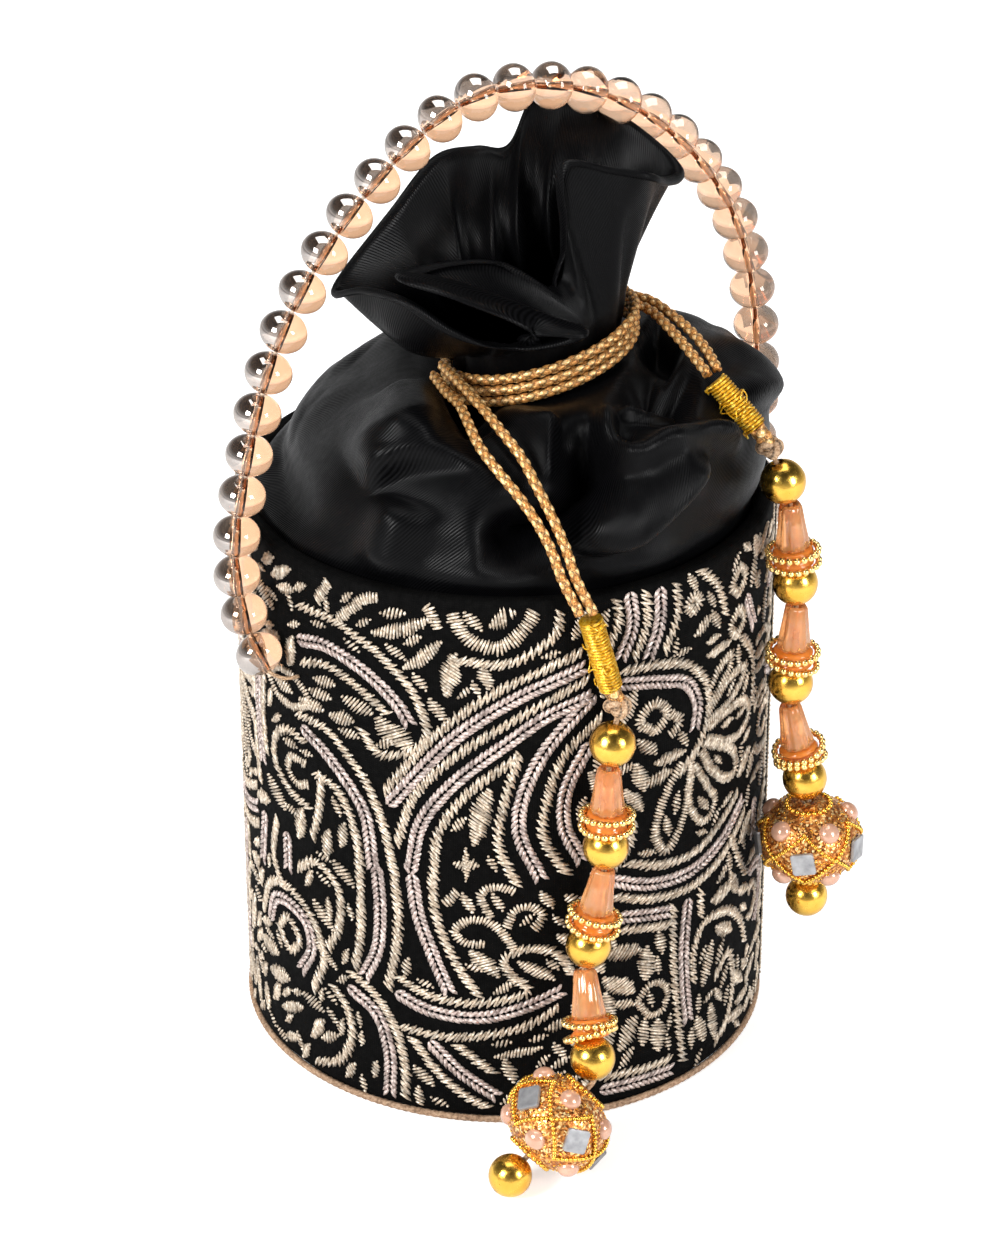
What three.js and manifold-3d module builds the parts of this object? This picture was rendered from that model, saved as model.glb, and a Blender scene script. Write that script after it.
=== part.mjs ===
// A potli bag: a stiff round body in an embroidered cover, a gathered satin top tied with
// drawstrings, two beaded tassels and a swinging handle of glass beads.
// Millimetres, +Z up, origin at the middle of the underside, handle anchored on -X and +X.
import * as THREE from 'three';
import { mergeVertices } from 'three/addons/utils/BufferGeometryUtils.js';
import Module from 'manifold-3d';

const wasm = await Module();
wasm.setup();

// Clearances between pieces
const seatGap = 0.3;
const cordGap = 0.7;

// Stiff body
const bodyRadius = 57.5;
const bodyHeight = 127;
const coverThickness = 1;
const wallThickness = 2;
const baseThickness = 2;
const liningThickness = 0.8;
const liningTopDrop = 5;
const undersideThickness = 0.8;
const pipingRadius = 0.8;
const seamWidth = 4;
const seamHeight = 0.8;
const seamAngle = -34;
const bodySides = 48;

// Satin top
const satinThickness = 1.6;
const satinTuck = 18;
const satinSides = 32;
const neckRadius = 18;
const neckHeight = 31.3;
const neckLength = 13;
const neckShift = 7.4;
const neckRise = 5.6;
const leanAngle = -31;
const ruffleHeight = 58;
const ruffleWide = 32;
const ruffleDeep = 23;
const ruffleRise = 8;

// Cords
const strandRadius = 1.15;
const neckTurns = 2.54;
const turnPitch = 2.5;
const turnStart = -160;
const turnSteps = 60;
const cordSides = 8;

// Handle
const handleBeadRadius = 5;
const handleBeadLength = 8.7;
const handleBeadGap = 0.3;
const handleStringRadius = 0.55;
const tightestBend = 17.2;
const handleClearance = 0.6;
const handleBeadSides = 10;
const crownHeight = 88;
const anchorDrop = 20.1;
const footKick = 1.3;
const cornerRoom = 0.55;
const anchorLean = [0.08, -0.8, -0.59];
const entryReach = 2.6;
const entryDrop = 1.6;
const loopReach = 3;
const loopDip = 0.5;
const stringSteps = 14;

// Tassels
const goldBeadRadius = 4.8;
const endBeadRadius = 4.6;
const coneTopRadius = 2.5;
const coneTopRound = 0.8;
const coneFootRadius = 3.6;
const coneLength = 10.4;
const ringRadius = 5.9;
const ringThickness = 1.3;
const ringFlat = 0.5;
const spacerRadius = 3.3;
const spacerLength = 1.4;
const beadSeat = 0.4;
const dropUnits = 3;
const lacRadius = 11.6;
const lacHalfLength = 9.9;
const lacPatterns = 5;
const pearlRadius = 2.2;
const pearlSeat = 1;
const pearlLatitude = 36;
const bindingRadius = 2.6;
const bindingEndRadius = 2.2;
const braidRadius = 1.95;
const knotRadius = 3.2;
const tasselStringRadius = 0.6;
const tasselBoreRadius = 1.1;
const tasselSides = 12;

const degrees = Math.PI / 180;
const up = new THREE.Vector3(0, 0, 1);
const lean = new THREE.Vector3(Math.cos(leanAngle * degrees), Math.sin(leanAngle * degrees), 0);
const across = new THREE.Vector3().crossVectors(up, lean);
const rim = bodyHeight;

const potliBag = new THREE.Group();

function finish(color, roughness, metalness) {
  return new THREE.MeshStandardMaterial({ color, roughness, metalness });
}

const finishes = {
  board: finish(0x9a8468, 0.9, 0),
  embroidery: finish(0x6f6357, 0.65, 0.1),
  blackCloth: finish(0x16130f, 0.85, 0),
  piping: finish(0xb08a62, 0.7, 0),
  satin: finish(0x0a0a0c, 0.35, 0),
  cord: finish(0xb9834f, 0.55, 0.3),
  zari: finish(0xd9a91c, 0.35, 0.8),
  glass: finish(0xe8a27c, 0.08, 0.1),
  thread: finish(0xd8c8b4, 0.6, 0),
  gold: finish(0xdca832, 0.22, 1),
  lac: finish(0xb4713a, 0.5, 0.4),
  orange: finish(0xf08a55, 0.2, 0),
};

// A mesh whose shared corners are one, with no empty triangles and its faces pointing out
function closedMesh(geometry) {
  const bare = geometry.clone();
  bare.deleteAttribute('normal');
  bare.deleteAttribute('uv');
  const merged = mergeVertices(bare, 1e-4);
  const corners = merged.getAttribute('position');
  const kept = [];
  let volume = 0;
  const [a, b, c] = [new THREE.Vector3(), new THREE.Vector3(), new THREE.Vector3()];
  for (let i = 0; i < merged.index.count; i += 3) {
    const [p, q, r] = [0, 1, 2].map((k) => merged.index.getX(i + k));
    if (p === q || q === r || r === p) continue;
    kept.push(p, q, r);
    a.fromBufferAttribute(corners, p);
    b.fromBufferAttribute(corners, q);
    c.fromBufferAttribute(corners, r);
    volume += a.dot(b.cross(c)) / 6;
  }
  if (volume < 0) kept.reverse();
  merged.setIndex(kept);
  return merged;
}

function toSolid(geometry) {
  const mesh = closedMesh(geometry);
  return new wasm.Manifold(new wasm.Mesh({
    numProp: 3,
    vertProperties: new Float32Array(mesh.getAttribute('position').array),
    triVerts: new Uint32Array(mesh.index.array),
  }));
}

function toGeometry(solid) {
  const mesh = solid.getMesh();
  const geometry = new THREE.BufferGeometry();
  geometry.setAttribute('position', new THREE.BufferAttribute(mesh.vertProperties, 3));
  geometry.setIndex(new THREE.BufferAttribute(mesh.triVerts, 1));
  return geometry;
}

function joined(...geometries) {
  return toGeometry(geometries.map(toSolid).reduce((whole, piece) => whole.add(piece)));
}

// Adds a named piece, its own +Z turned to the heading
function addPiece(name, geometry, material, place = new THREE.Vector3(), heading = up) {
  const mesh = new THREE.Mesh(closedMesh(geometry), material);
  mesh.name = name;
  mesh.position.copy(place);
  mesh.quaternion.setFromUnitVectors(up, heading.clone().normalize());
  potliBag.add(mesh);
  return mesh;
}

// A turned shape about Z from [radius, height] pairs; it closes on itself unless it ends on the axis
function turned(outline, sides) {
  const points = outline.map(([radius, height]) => new THREE.Vector2(radius, height));
  const open = outline[0][0] > 0 || outline.at(-1)[0] > 0;
  if (open) points.push(points[0].clone());
  const geometry = new THREE.LatheGeometry(points, sides);
  geometry.rotateX(Math.PI / 2);
  return geometry;
}

// A round tube along a curve
function tube(curve, radius, steps, sides = cordSides) {
  const section = new THREE.Shape();
  for (let i = 0; i < sides; i += 1) {
    const turn = (i / sides) * 2 * Math.PI;
    const corner = [radius * Math.cos(turn), radius * Math.sin(turn)];
    if (i === 0) section.moveTo(...corner);
    else section.lineTo(...corner);
  }
  return new THREE.ExtrudeGeometry(section, { extrudePath: curve, steps, bevelEnabled: false });
}

function smoothCurve(points) {
  return new THREE.CatmullRomCurve3(points, false, 'centripetal');
}

function point([x, y, z]) {
  return new THREE.Vector3(x, y, z);
}

// The outline of a ball with a bore through it, from its lower end to its upper end
function boredBall(radius, halfLength, bore, bands) {
  const start = Math.asin(bore / radius);
  const outline = [];
  for (let i = 0; i <= bands; i += 1) {
    const turn = start + (i / bands) * (Math.PI - 2 * start);
    outline.push([radius * Math.sin(turn), -halfLength * Math.cos(turn)]);
  }
  return outline;
}

// Stiff body: underside, board base and wall, lining cup and the embroidered cover
const coverInside = bodyRadius - coverThickness;
const wallOutside = coverInside - seatGap;
const wallInside = wallOutside - wallThickness;
const liningOutside = wallInside - seatGap;
const liningInside = liningOutside - liningThickness;
const baseFoot = undersideThickness + seatGap;
const wallFoot = baseFoot + baseThickness + seatGap;
const wallTop = rim - coverThickness - seatGap;

function addBody() {
  const undersideRadius = bodyRadius - pipingRadius - seatGap;
  addPiece('bottom_cover', turned([
    [0, 0], [undersideRadius, 0], [undersideRadius, undersideThickness], [0, undersideThickness],
  ], bodySides), finishes.blackCloth);
  const pipingSides = 6;
  const pipingOutline = Array.from({ length: pipingSides }, (_, i) => {
    const turn = (i / pipingSides) * 2 * Math.PI - Math.PI / 2;
    return [bodyRadius + pipingRadius * Math.cos(turn), pipingRadius * (1 + Math.sin(turn))];
  });
  addPiece('bottom_piping', turned(pipingOutline, bodySides), finishes.piping);
  const baseTop = baseFoot + baseThickness;
  const baseRadius = bodyRadius - pipingRadius - 2 * seatGap;
  addPiece('base_board', turned([
    [0, baseFoot], [baseRadius, baseFoot], [baseRadius, baseTop], [0, baseTop],
  ], bodySides), finishes.board);
  addPiece('wall_board', turned([
    [wallInside, wallFoot], [wallOutside, wallFoot], [wallOutside, wallTop], [wallInside, wallTop],
  ], bodySides), finishes.board);
  const liningTop = rim - liningTopDrop;
  addPiece('lining', turned([
    [0, wallFoot], [liningOutside, wallFoot], [liningOutside, liningTop], [liningInside, liningTop],
    [liningInside, wallFoot + liningThickness], [0, wallFoot + liningThickness],
  ], bodySides), finishes.blackCloth);
  const coverFoot = 2 * pipingRadius + seatGap;
  const cover = turned([
    [coverInside, coverFoot], [bodyRadius, coverFoot], [bodyRadius, rim], [liningOutside, rim],
    [liningOutside, rim - coverThickness], [coverInside, rim - coverThickness],
  ], bodySides);
  const seam = new THREE.BoxGeometry(seamHeight + coverThickness / 2, seamWidth, rim - coverFoot);
  seam.translate(bodyRadius + seamHeight / 2 - coverThickness / 4, 0, (rim + coverFoot) / 2);
  seam.rotateZ(seamAngle * degrees);
  addPiece('embroidered_cover', joined(cover, seam), finishes.embroidery);
}

// Satin top: rings about the lean direction from the tuck inside the rim to the ruffle's edge
function satinRings() {
  const tuckRadius = liningInside - seatGap;
  const ring = (shift, wide, deep, height, rise, riseBack = 0) => (
    { shift, wide, deep, height: rim + height, rise, riseBack });
  const shoulder = (shift, inset, height, rise) => (
    ring(shift, tuckRadius - inset, tuckRadius - inset, height, rise));
  const aroundNeck = (shift, room, height, rise) => (
    ring(shift, neckRadius + room, neckRadius + room, height, rise));
  const neck = (height) => ring(neckShift, neckRadius, neckRadius, height, neckRise);
  return [
    shoulder(0, 1, -satinTuck, 0),
    shoulder(0, 0, 0.3, 0),
    shoulder(2.25, 0.05, 6, 0),
    shoulder(4.35, 1.45, 13.5, 0),
    shoulder(7, 5.8, 20.25, 0.25),
    aroundNeck(8.75, 20.75, 26, 1.5),
    aroundNeck(9, 11, 28.5, 3),
    neck(neckHeight - neckLength / 2),
    neck(neckHeight + neckLength / 2),
    ring(5, neckRadius + 4.5, neckRadius + 2, neckHeight + 9.7, ruffleRise - 1.5, 2),
    ring(2, ruffleWide - 4, ruffleDeep - 1, ruffleHeight - 8, ruffleRise - 0.5, 5),
    ring(0.5, ruffleWide, ruffleDeep, ruffleHeight, ruffleRise, ruffleRise),
  ];
}

function satinPoint(ring, turn) {
  const along = ring.shift + ring.wide * Math.cos(turn);
  const aside = ring.deep * Math.sin(turn);
  const height = ring.height + ring.rise * Math.cos(turn) + ring.riseBack * Math.sin(turn);
  return new THREE.Vector3(0, 0, height).addScaledVector(lean, along).addScaledVector(across, aside);
}

function addSatin() {
  const rings = satinRings();
  const last = rings.length - 1;
  // Only the count of rings matters here: every corner of this turned shape is then put in place
  const blank = [...rings.keys(), ...[...rings.keys()].reverse()].map((k, i) => [i <= last ? 2 : 1, k]);
  const geometry = turned(blank, satinSides);
  const corners = geometry.getAttribute('position');
  const rows = blank.length + 1;
  for (let column = 0; column <= satinSides; column += 1) {
    const turn = (column / satinSides) * 2 * Math.PI;
    const outward = new THREE.Vector3().addScaledVector(lean, Math.cos(turn))
      .addScaledVector(across, Math.sin(turn));
    const skin = rings.map((ring) => satinPoint(ring, turn));
    for (let row = 0; row < rows; row += 1) {
      const spot = row % blank.length;
      const k = spot <= last ? spot : 2 * last + 1 - spot;
      const place = skin[k].clone();
      if (spot > last) {
        const along = skin[Math.min(k + 1, last)].clone().sub(skin[Math.max(k - 1, 0)]).normalize();
        const run = along.dot(outward);
        const inward = new THREE.Vector3(0, 0, run).addScaledVector(outward, -along.z).normalize();
        place.addScaledVector(inward, satinThickness);
      }
      corners.setXYZ(column * rows + row, place.x, place.y, place.z);
    }
  }
  addPiece('satin_pouch', geometry, finishes.satin);
}

// Drawstrings: the turns about the neck, then two free strands to each tassel
const turnRadius = neckRadius + strandRadius + cordGap;

class NeckTurns extends THREE.Curve {
  getPoint(share, target = new THREE.Vector3()) {
    const turn = turnStart * degrees + share * neckTurns * 2 * Math.PI;
    const climb = (share - 0.5) * neckTurns * turnPitch;
    const height = rim + neckHeight + neckRise * Math.cos(turn) + climb;
    return target.set(0, 0, height)
      .addScaledVector(lean, neckShift + turnRadius * Math.cos(turn))
      .addScaledVector(across, turnRadius * Math.sin(turn));
  }
}

const strands = {
  front_strand_upper: [
    [-15.5, -0.5, 156.9], [-18.2, -12.4, 158.2], [-19.6, -23.5, 157.6], [-20.2, -32.8, 155.8],
    [-19.7, -39.4, 152.8], [-19.7, -45.3, 148.8], [-18.9, -49.6, 144], [-18, -53.6, 138.2],
    [-17.2, -56.7, 132], [-15.1, -59.9, 125.4],
  ],
  front_strand_lower: [
    [-17.9, -1.2, 155.4], [-20.4, -10.7, 156], [-21.9, -18.5, 156.7], [-23.8, -25, 156],
    [-25.2, -32.3, 153.6], [-24.7, -39.3, 150.5], [-23.3, -43.9, 147.2], [-21.9, -48.4, 143.2],
    [-20.6, -52, 138.2], [-19.8, -55.5, 132.2], [-17.7, -58.9, 125.4],
  ],
  side_strand_upper: [
    [29, -3, 163.6], [31.2, -7.4, 163.7], [32.2, -15.4, 162.7], [31.9, -23.2, 161.8],
    [30.8, -30.3, 160.8], [28.9, -36.8, 159.9],
  ],
  side_strand_lower: [
    [28.6, -8.1, 163.2], [29, -12, 163.2], [28.6, -16.5, 162.9], [27.6, -24.9, 162],
    [26.8, -31.4, 160.9], [26, -37.7, 159.7],
  ],
};

function addDrawstrings() {
  addPiece('neck_cord', tube(new NeckTurns(), strandRadius, turnSteps), finishes.cord);
  const strandStep = 3 * 2 * strandRadius;
  for (const [name, places] of Object.entries(strands)) {
    const curve = smoothCurve(places.map(point));
    const steps = Math.ceil(curve.getLength() / strandStep);
    addPiece(name, tube(curve, strandRadius, steps), finishes.cord);
  }
}

// Tassels: where the binding starts and ends, the knot, and what each bead in turn heads towards
const tassels = {
  front: {
    binding: [[-15.4, -59.1, 123.9], [-11.2, -60.5, 107.8]],
    knot: [-10.3, -62.2, 104],
    aims: [
      [-12.1, -62.9, 96], [-13.7, -63.3, 71.6], [-17.2, -62.3, 47.3], [-20.9, -70.9, 24.9],
      [-42.6, -72.5, 4.9], [-42.6, -72.5, 4.9],
    ],
  },
  side: {
    binding: [[27.4, -38.7, 158.2], [32.7, -46, 149.4]],
    knot: [35, -48.3, 145.2],
    aims: [
      [37.3, -49.8, 137.4], [40.2, -51.6, 113.1], [40, -51.5, 88.6], [43.6, -53.7, 64.5],
      [44.6, -54.4, 49.5], [44.4, -54.2, 34.5],
    ],
  },
};

const spacerFoot = coneLength + 2 * ringThickness + spacerLength;
const dropLength = spacerFoot + 2 * goldBeadRadius - beadSeat;

// Cone bead, two beaded rings with an orange spacer between them, and a gold bead below
function dropUnit() {
  const ringEdge = ringThickness * (1 - ringFlat) / 2;
  const ringBulge = (from) => [
    [coneFootRadius, from], [ringRadius, from + ringEdge],
    [ringRadius, from + ringThickness - ringEdge], [spacerRadius, from + ringThickness],
  ];
  const beadCentre = dropLength - goldBeadRadius;
  const beadOutline = [50, 20, -15, -50].map((turn) => [
    goldBeadRadius * Math.cos(turn * degrees), beadCentre - goldBeadRadius * Math.sin(turn * degrees),
  ]);
  const outline = [
    [tasselBoreRadius, 0], [coneTopRadius - coneTopRound, 0], [coneTopRadius, coneTopRound],
    [coneFootRadius, coneLength - coneTopRound],
    ...ringBulge(coneLength),
    ...ringBulge(coneLength + ringThickness + spacerLength),
    ...beadOutline,
    [tasselBoreRadius, dropLength],
  ];
  return turned(outline.map(([radius, height]) => [radius, -height]), tasselSides);
}

// Lac ball: a flattened ball with a bore, and half pearls in two rows between its mirrors
function lacBall() {
  const ball = turned(boredBall(lacRadius, lacHalfLength, tasselBoreRadius, 8), 2 * lacPatterns);
  const pieces = [ball];
  for (let i = 0; i < 2 * lacPatterns; i += 1) {
    const row = i % 2 === 0 ? 1 : -1;
    const turn = (i / (2 * lacPatterns)) * 2 * Math.PI;
    const spread = Math.cos(pearlLatitude * degrees);
    const pearl = new THREE.SphereGeometry(pearlRadius, 6, 4);
    pearl.rotateX(Math.PI / 2);
    pearl.translate(
      (lacRadius - pearlSeat) * spread * Math.cos(turn),
      (lacRadius - pearlSeat) * spread * Math.sin(turn),
      row * (lacHalfLength - pearlSeat) * Math.sin(pearlLatitude * degrees),
    );
    pieces.push(pearl);
  }
  return joined(...pieces);
}

function ballBead(radius) {
  return turned(boredBall(radius, radius, tasselBoreRadius, 7), tasselSides);
}

// Zari binding, the braid below it, its knot and the inner string that carries the beads
function knotPiece(tassel, stringRoute) {
  const [top, foot] = tassel.binding.map(point);
  const knot = point(tassel.knot);
  const length = top.distanceTo(foot);
  const binding = turned([
    [0, 0], [bindingEndRadius, 0], [bindingRadius, length * 0.3], [bindingRadius, length * 0.7],
    [bindingEndRadius, length], [0, length],
  ], cordSides);
  const heading = foot.clone().sub(top).normalize();
  const turnDown = new THREE.Quaternion().setFromUnitVectors(up, heading);
  binding.applyQuaternion(turnDown);
  binding.translate(top.x, top.y, top.z);
  const ball = new THREE.SphereGeometry(knotRadius, 10, 7);
  ball.translate(knot.x, knot.y, knot.z);
  const braid = tube(smoothCurve([foot, foot.clone().lerp(knot, 0.5), knot]), braidRadius, 3);
  const strings = stringRoute.slice(1).map((end, i) => {
    const onward = end.clone().sub(stringRoute[i]).setLength(tasselStringRadius);
    const run = new THREE.LineCurve3(stringRoute[i], end.clone().add(onward));
    return tube(run, tasselStringRadius, 1);
  });
  return joined(binding, ball, braid, ...strings);
}

function addTassel(name, tassel) {
  const lengths = [
    2 * goldBeadRadius, ...Array(dropUnits).fill(dropLength), 2 * lacHalfLength, 2 * endBeadRadius,
  ];
  let here = point(tassel.knot);
  let before = null;
  const route = [here.clone()];
  const spots = lengths.map((length, i) => {
    const heading = point(tassel.aims[i]).sub(here).normalize();
    // A bead that turns away from the one above needs more string between the two
    const turnRoom = before ? goldBeadRadius * (1 - before.dot(heading)) : knotRadius;
    const top = here.clone().addScaledVector(heading, turnRoom + seatGap);
    const middle = top.clone().addScaledVector(heading, length / 2);
    here = top.clone().addScaledVector(heading, length);
    before = heading;
    route.push(i === lengths.length - 1 ? middle : here.clone());
    return { heading, top, middle };
  });
  addPiece(`${name}_tassel_knot`, knotPiece(tassel, route), finishes.zari);
  const first = spots[0];
  addPiece(`${name}_top_bead`, ballBead(goldBeadRadius), finishes.gold, first.middle, first.heading);
  for (let i = 1; i <= dropUnits; i += 1) {
    const { heading, top } = spots[i];
    addPiece(`${name}_drop_${i}`, dropUnit(), finishes.orange, top, heading.clone().negate());
  }
  const lac = spots[dropUnits + 1];
  addPiece(`${name}_lac_ball`, lacBall(), finishes.lac, lac.middle, lac.heading);
  const end = spots[dropUnits + 2];
  addPiece(`${name}_end_bead`, ballBead(endBeadRadius), finishes.gold, end.middle, end.heading);
}

// Handle: its outline as shares of the half span and of the rise, which the string's length sets
const handleOutline = [
  [-1, 0], [-1.025, 0.16], [-0.98, 0.33], [-0.88, 0.54], [-0.72, 0.71], [-0.46, 0.875], [-0.15, 0.985],
  [0.15, 0.985], [0.46, 0.915], [0.74, 0.775], [0.92, 0.61], [1.005, 0.42], [1.025, 0.22], [1, 0],
];
const handleFoot = bodyHeight - anchorDrop;
const halfSpan = bodyRadius + handleClearance + handleBeadRadius;
const beadPitch = handleBeadLength + handleBeadGap;
const cornerReach = handleBeadLength / 2 + cornerRoom;
const cornerSlack = cornerReach - beadPitch / 2;
const handleBoreRadius = handleStringRadius + handleBeadLength ** 2 / (8 * tightestBend);

function archCurve(rise) {
  const last = handleOutline.length - 1;
  return smoothCurve(handleOutline.map(([share, height], i) => new THREE.Vector3(
    share * halfSpan, i === 0 || i === last ? -footKick : 0, handleFoot + height * rise)));
}

// As many whole beads as best fill an arch of the wanted height
const wantedLength = archCurve(crownHeight + anchorDrop).getLength();
const handleBeadCount = Math.round((wantedLength - 2 * cornerSlack) / beadPitch);
const archLength = handleBeadCount * beadPitch + 2 * cornerSlack;

// The rise at which that string of beads just spans the two anchors
function solveRise() {
  let [low, high] = [halfSpan / 2, archLength];
  while (high - low > 0.01) {
    const middle = (low + high) / 2;
    if (archCurve(middle).getLength() > archLength) high = middle;
    else low = middle;
  }
  return (low + high) / 2;
}

function addHandle() {
  const arch = archCurve(solveRise());
  arch.arcLengthDivisions = 800;
  const bead = turned(
    boredBall(handleBeadRadius, handleBeadLength / 2, handleBoreRadius, 5), handleBeadSides);
  const anchorBead = (side) => {
    const foot = arch.getPointAt(side < 0 ? 0 : 1);
    const heading = point(anchorLean).normalize().multiply(new THREE.Vector3(-side, 1, 1));
    return { foot, heading, centre: foot.clone().addScaledVector(heading, cornerReach) };
  };
  const ends = [anchorBead(-1), anchorBead(1)];
  // The string leaves its anchor bead, loops outward a little and enters the cover in front of it
  const stringTail = ({ foot, heading, centre }, inner) => {
    const out = centre.clone().addScaledVector(heading, handleBeadLength / 2);
    const side = Math.sign(out.x);
    const [entryY, entryZ] = [out.y - entryReach, out.z - entryDrop];
    const entryX = Math.sqrt((bodyRadius + seatGap) ** 2 - entryY ** 2);
    const loop = new THREE.Vector3(side * (entryX + loopReach), (out.y + entryY) / 2 - loopDip, entryZ);
    const entry = new THREE.Vector3(side * entryX, entryY, entryZ);
    return tube(smoothCurve([inner, foot, centre, out, loop, entry]), handleStringRadius, stringSteps);
  };
  const main = tube(arch, handleStringRadius, 2 * handleBeadCount);
  const corner = cornerReach / archLength;
  const inners = [corner, 1 - corner].map((share) => arch.getPointAt(share));
  addPiece('handle_string', joined(
    main, stringTail(ends[0], inners[0]), stringTail(ends[1], inners[1])), finishes.thread);
  const total = handleBeadCount + 2;
  for (let i = 0; i < total; i += 1) {
    const name = `handle_bead_${String(i + 1).padStart(2, '0')}`;
    const anchor = i === 0 ? ends[0] : i === total - 1 ? ends[1] : null;
    const share = (cornerSlack + (i - 0.5) * beadPitch) / archLength;
    const place = anchor ? anchor.centre : arch.getPointAt(share);
    const heading = anchor ? anchor.heading : arch.getTangentAt(share);
    addPiece(name, bead, finishes.glass, place, heading);
  }
}

addBody();
addSatin();
addDrawstrings();
for (const [name, tassel] of Object.entries(tassels)) addTassel(name, tassel);
addHandle();

export default potliBag;
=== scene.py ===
import math
import random

import bmesh
import bpy
import numpy as np
from mathutils import Matrix, Vector


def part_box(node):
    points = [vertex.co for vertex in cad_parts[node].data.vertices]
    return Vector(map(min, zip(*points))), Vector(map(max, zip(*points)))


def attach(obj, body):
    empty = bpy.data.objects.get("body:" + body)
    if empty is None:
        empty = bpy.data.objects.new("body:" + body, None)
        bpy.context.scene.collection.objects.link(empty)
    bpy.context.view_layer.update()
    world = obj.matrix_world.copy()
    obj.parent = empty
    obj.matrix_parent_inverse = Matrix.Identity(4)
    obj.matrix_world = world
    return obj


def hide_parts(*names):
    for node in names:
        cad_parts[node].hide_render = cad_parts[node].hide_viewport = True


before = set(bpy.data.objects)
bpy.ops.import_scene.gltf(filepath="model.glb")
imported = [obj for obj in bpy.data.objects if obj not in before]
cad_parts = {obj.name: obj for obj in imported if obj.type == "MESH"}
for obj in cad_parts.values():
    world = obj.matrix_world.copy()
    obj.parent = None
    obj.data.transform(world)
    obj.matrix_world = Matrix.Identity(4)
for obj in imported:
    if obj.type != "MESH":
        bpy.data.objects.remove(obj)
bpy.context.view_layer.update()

scene = bpy.context.scene
scene.view_settings.view_transform = "Standard"
mm = 0.001
degrees = math.pi / 180
lean = np.array([math.cos(-31 * degrees), math.sin(-31 * degrees), 0])  # the way the gathered top leans
across = np.array([-lean[1], lean[0], 0])
up = np.array([0.0, 0.0, 1.0])


# Camera, where the photograph was taken from
camera = {
    "lens": 115.2,
    "place": (-394.8, -655.2, 506.4),
    "right": (0.857, -0.515, 0.0),
    "up": (0.246, 0.409, 0.879),
    "back": (-0.4525, -0.7531, 0.4776),
}
cameraData = bpy.data.cameras.new("photoCamera")
cameraData.lens = camera["lens"]
cameraData.sensor_width = 36
cameraData.clip_end = 20
cameraObject = bpy.data.objects.new("photoCamera", cameraData)
scene.collection.objects.link(cameraObject)
turn = Matrix((camera["right"], camera["up"], camera["back"])).transposed().to_quaternion().normalized()
cameraObject.matrix_world = Matrix.Translation(Vector(camera["place"]) * mm) @ turn.to_matrix().to_4x4()
scene.camera = cameraObject


# Lines, meshes and pieces
def evenly(line, step):
    along = np.concatenate([[0], np.cumsum(np.linalg.norm(np.diff(line, axis=0), axis=1))])
    at = np.linspace(0, along[-1], max(2, round(along[-1] / step) + 1))
    return np.stack([np.interp(at, along, line[:, k]) for k in range(line.shape[1])], axis=1)


def smoothLine(points, step):
    p = np.array(points, float)
    if len(p) == 2:
        return evenly(p, step)
    p = np.vstack([2 * p[0] - p[1], p, 2 * p[-1] - p[-2]])
    runs = []
    for a, b, c, d in zip(p, p[1:], p[2:], p[3:]):
        before, here, after = (max(np.linalg.norm(v), 1e-9) ** 0.5 for v in (b - a, c - b, d - c))
        leave = ((b - a) / before - (c - a) / (before + here) + (c - b) / here) * here
        arrive = ((c - b) / here - (d - b) / (here + after) + (d - c) / after) * here
        u = np.linspace(0, 1, 32)[:, None]
        runs.append((2 * b - 2 * c + leave + arrive) * u**3
                    + (3 * c - 3 * b - 2 * leave - arrive) * u**2 + leave * u + b)
    return evenly(np.vstack(runs), step)


def shadeMesh(mesh, smooth):
    mesh.polygons.foreach_set("use_smooth", [smooth] * len(mesh.polygons))


def toMesh(name, bm):
    mesh = bpy.data.meshes.new(name)
    bm.to_mesh(mesh)
    bm.free()
    shadeMesh(mesh, True)
    return mesh


def addPiece(name, mesh, body, slotName, *materials):
    piece = bpy.data.objects.new(name, mesh)
    scene.collection.objects.link(piece)
    for material in materials:
        mesh.materials.append(material)
    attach(piece, body)
    return piece


def spun(profile, steps):
    bm = bmesh.new()
    corners = [bm.verts.new((r * mm, 0, z * mm)) for r, z in profile]
    edges = [bm.edges.new(pair) for pair in zip(corners, corners[1:])]
    if profile[0][0] > 0 or profile[-1][0] > 0:
        edges.append(bm.edges.new((corners[-1], corners[0])))
    bmesh.ops.spin(bm, geom=corners + edges, axis=(0, 0, 1), cent=(0, 0, 0), angle=2 * math.pi,
                   steps=steps, use_merge=True)
    bmesh.ops.remove_doubles(bm, verts=bm.verts, dist=1e-7)
    bmesh.ops.recalc_face_normals(bm, faces=bm.faces)
    return bm


def facing(place, heading, roll=0.0):
    swing = Vector((0, 0, 1)).rotation_difference(Vector(heading).normalized())
    return Matrix.Translation(Vector(place) * mm) @ swing.to_matrix().to_4x4() @ Matrix.Rotation(roll, 4, "Z")


def placed(bm, matrix):
    bmesh.ops.transform(bm, matrix=matrix, verts=bm.verts)
    return bm


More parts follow.
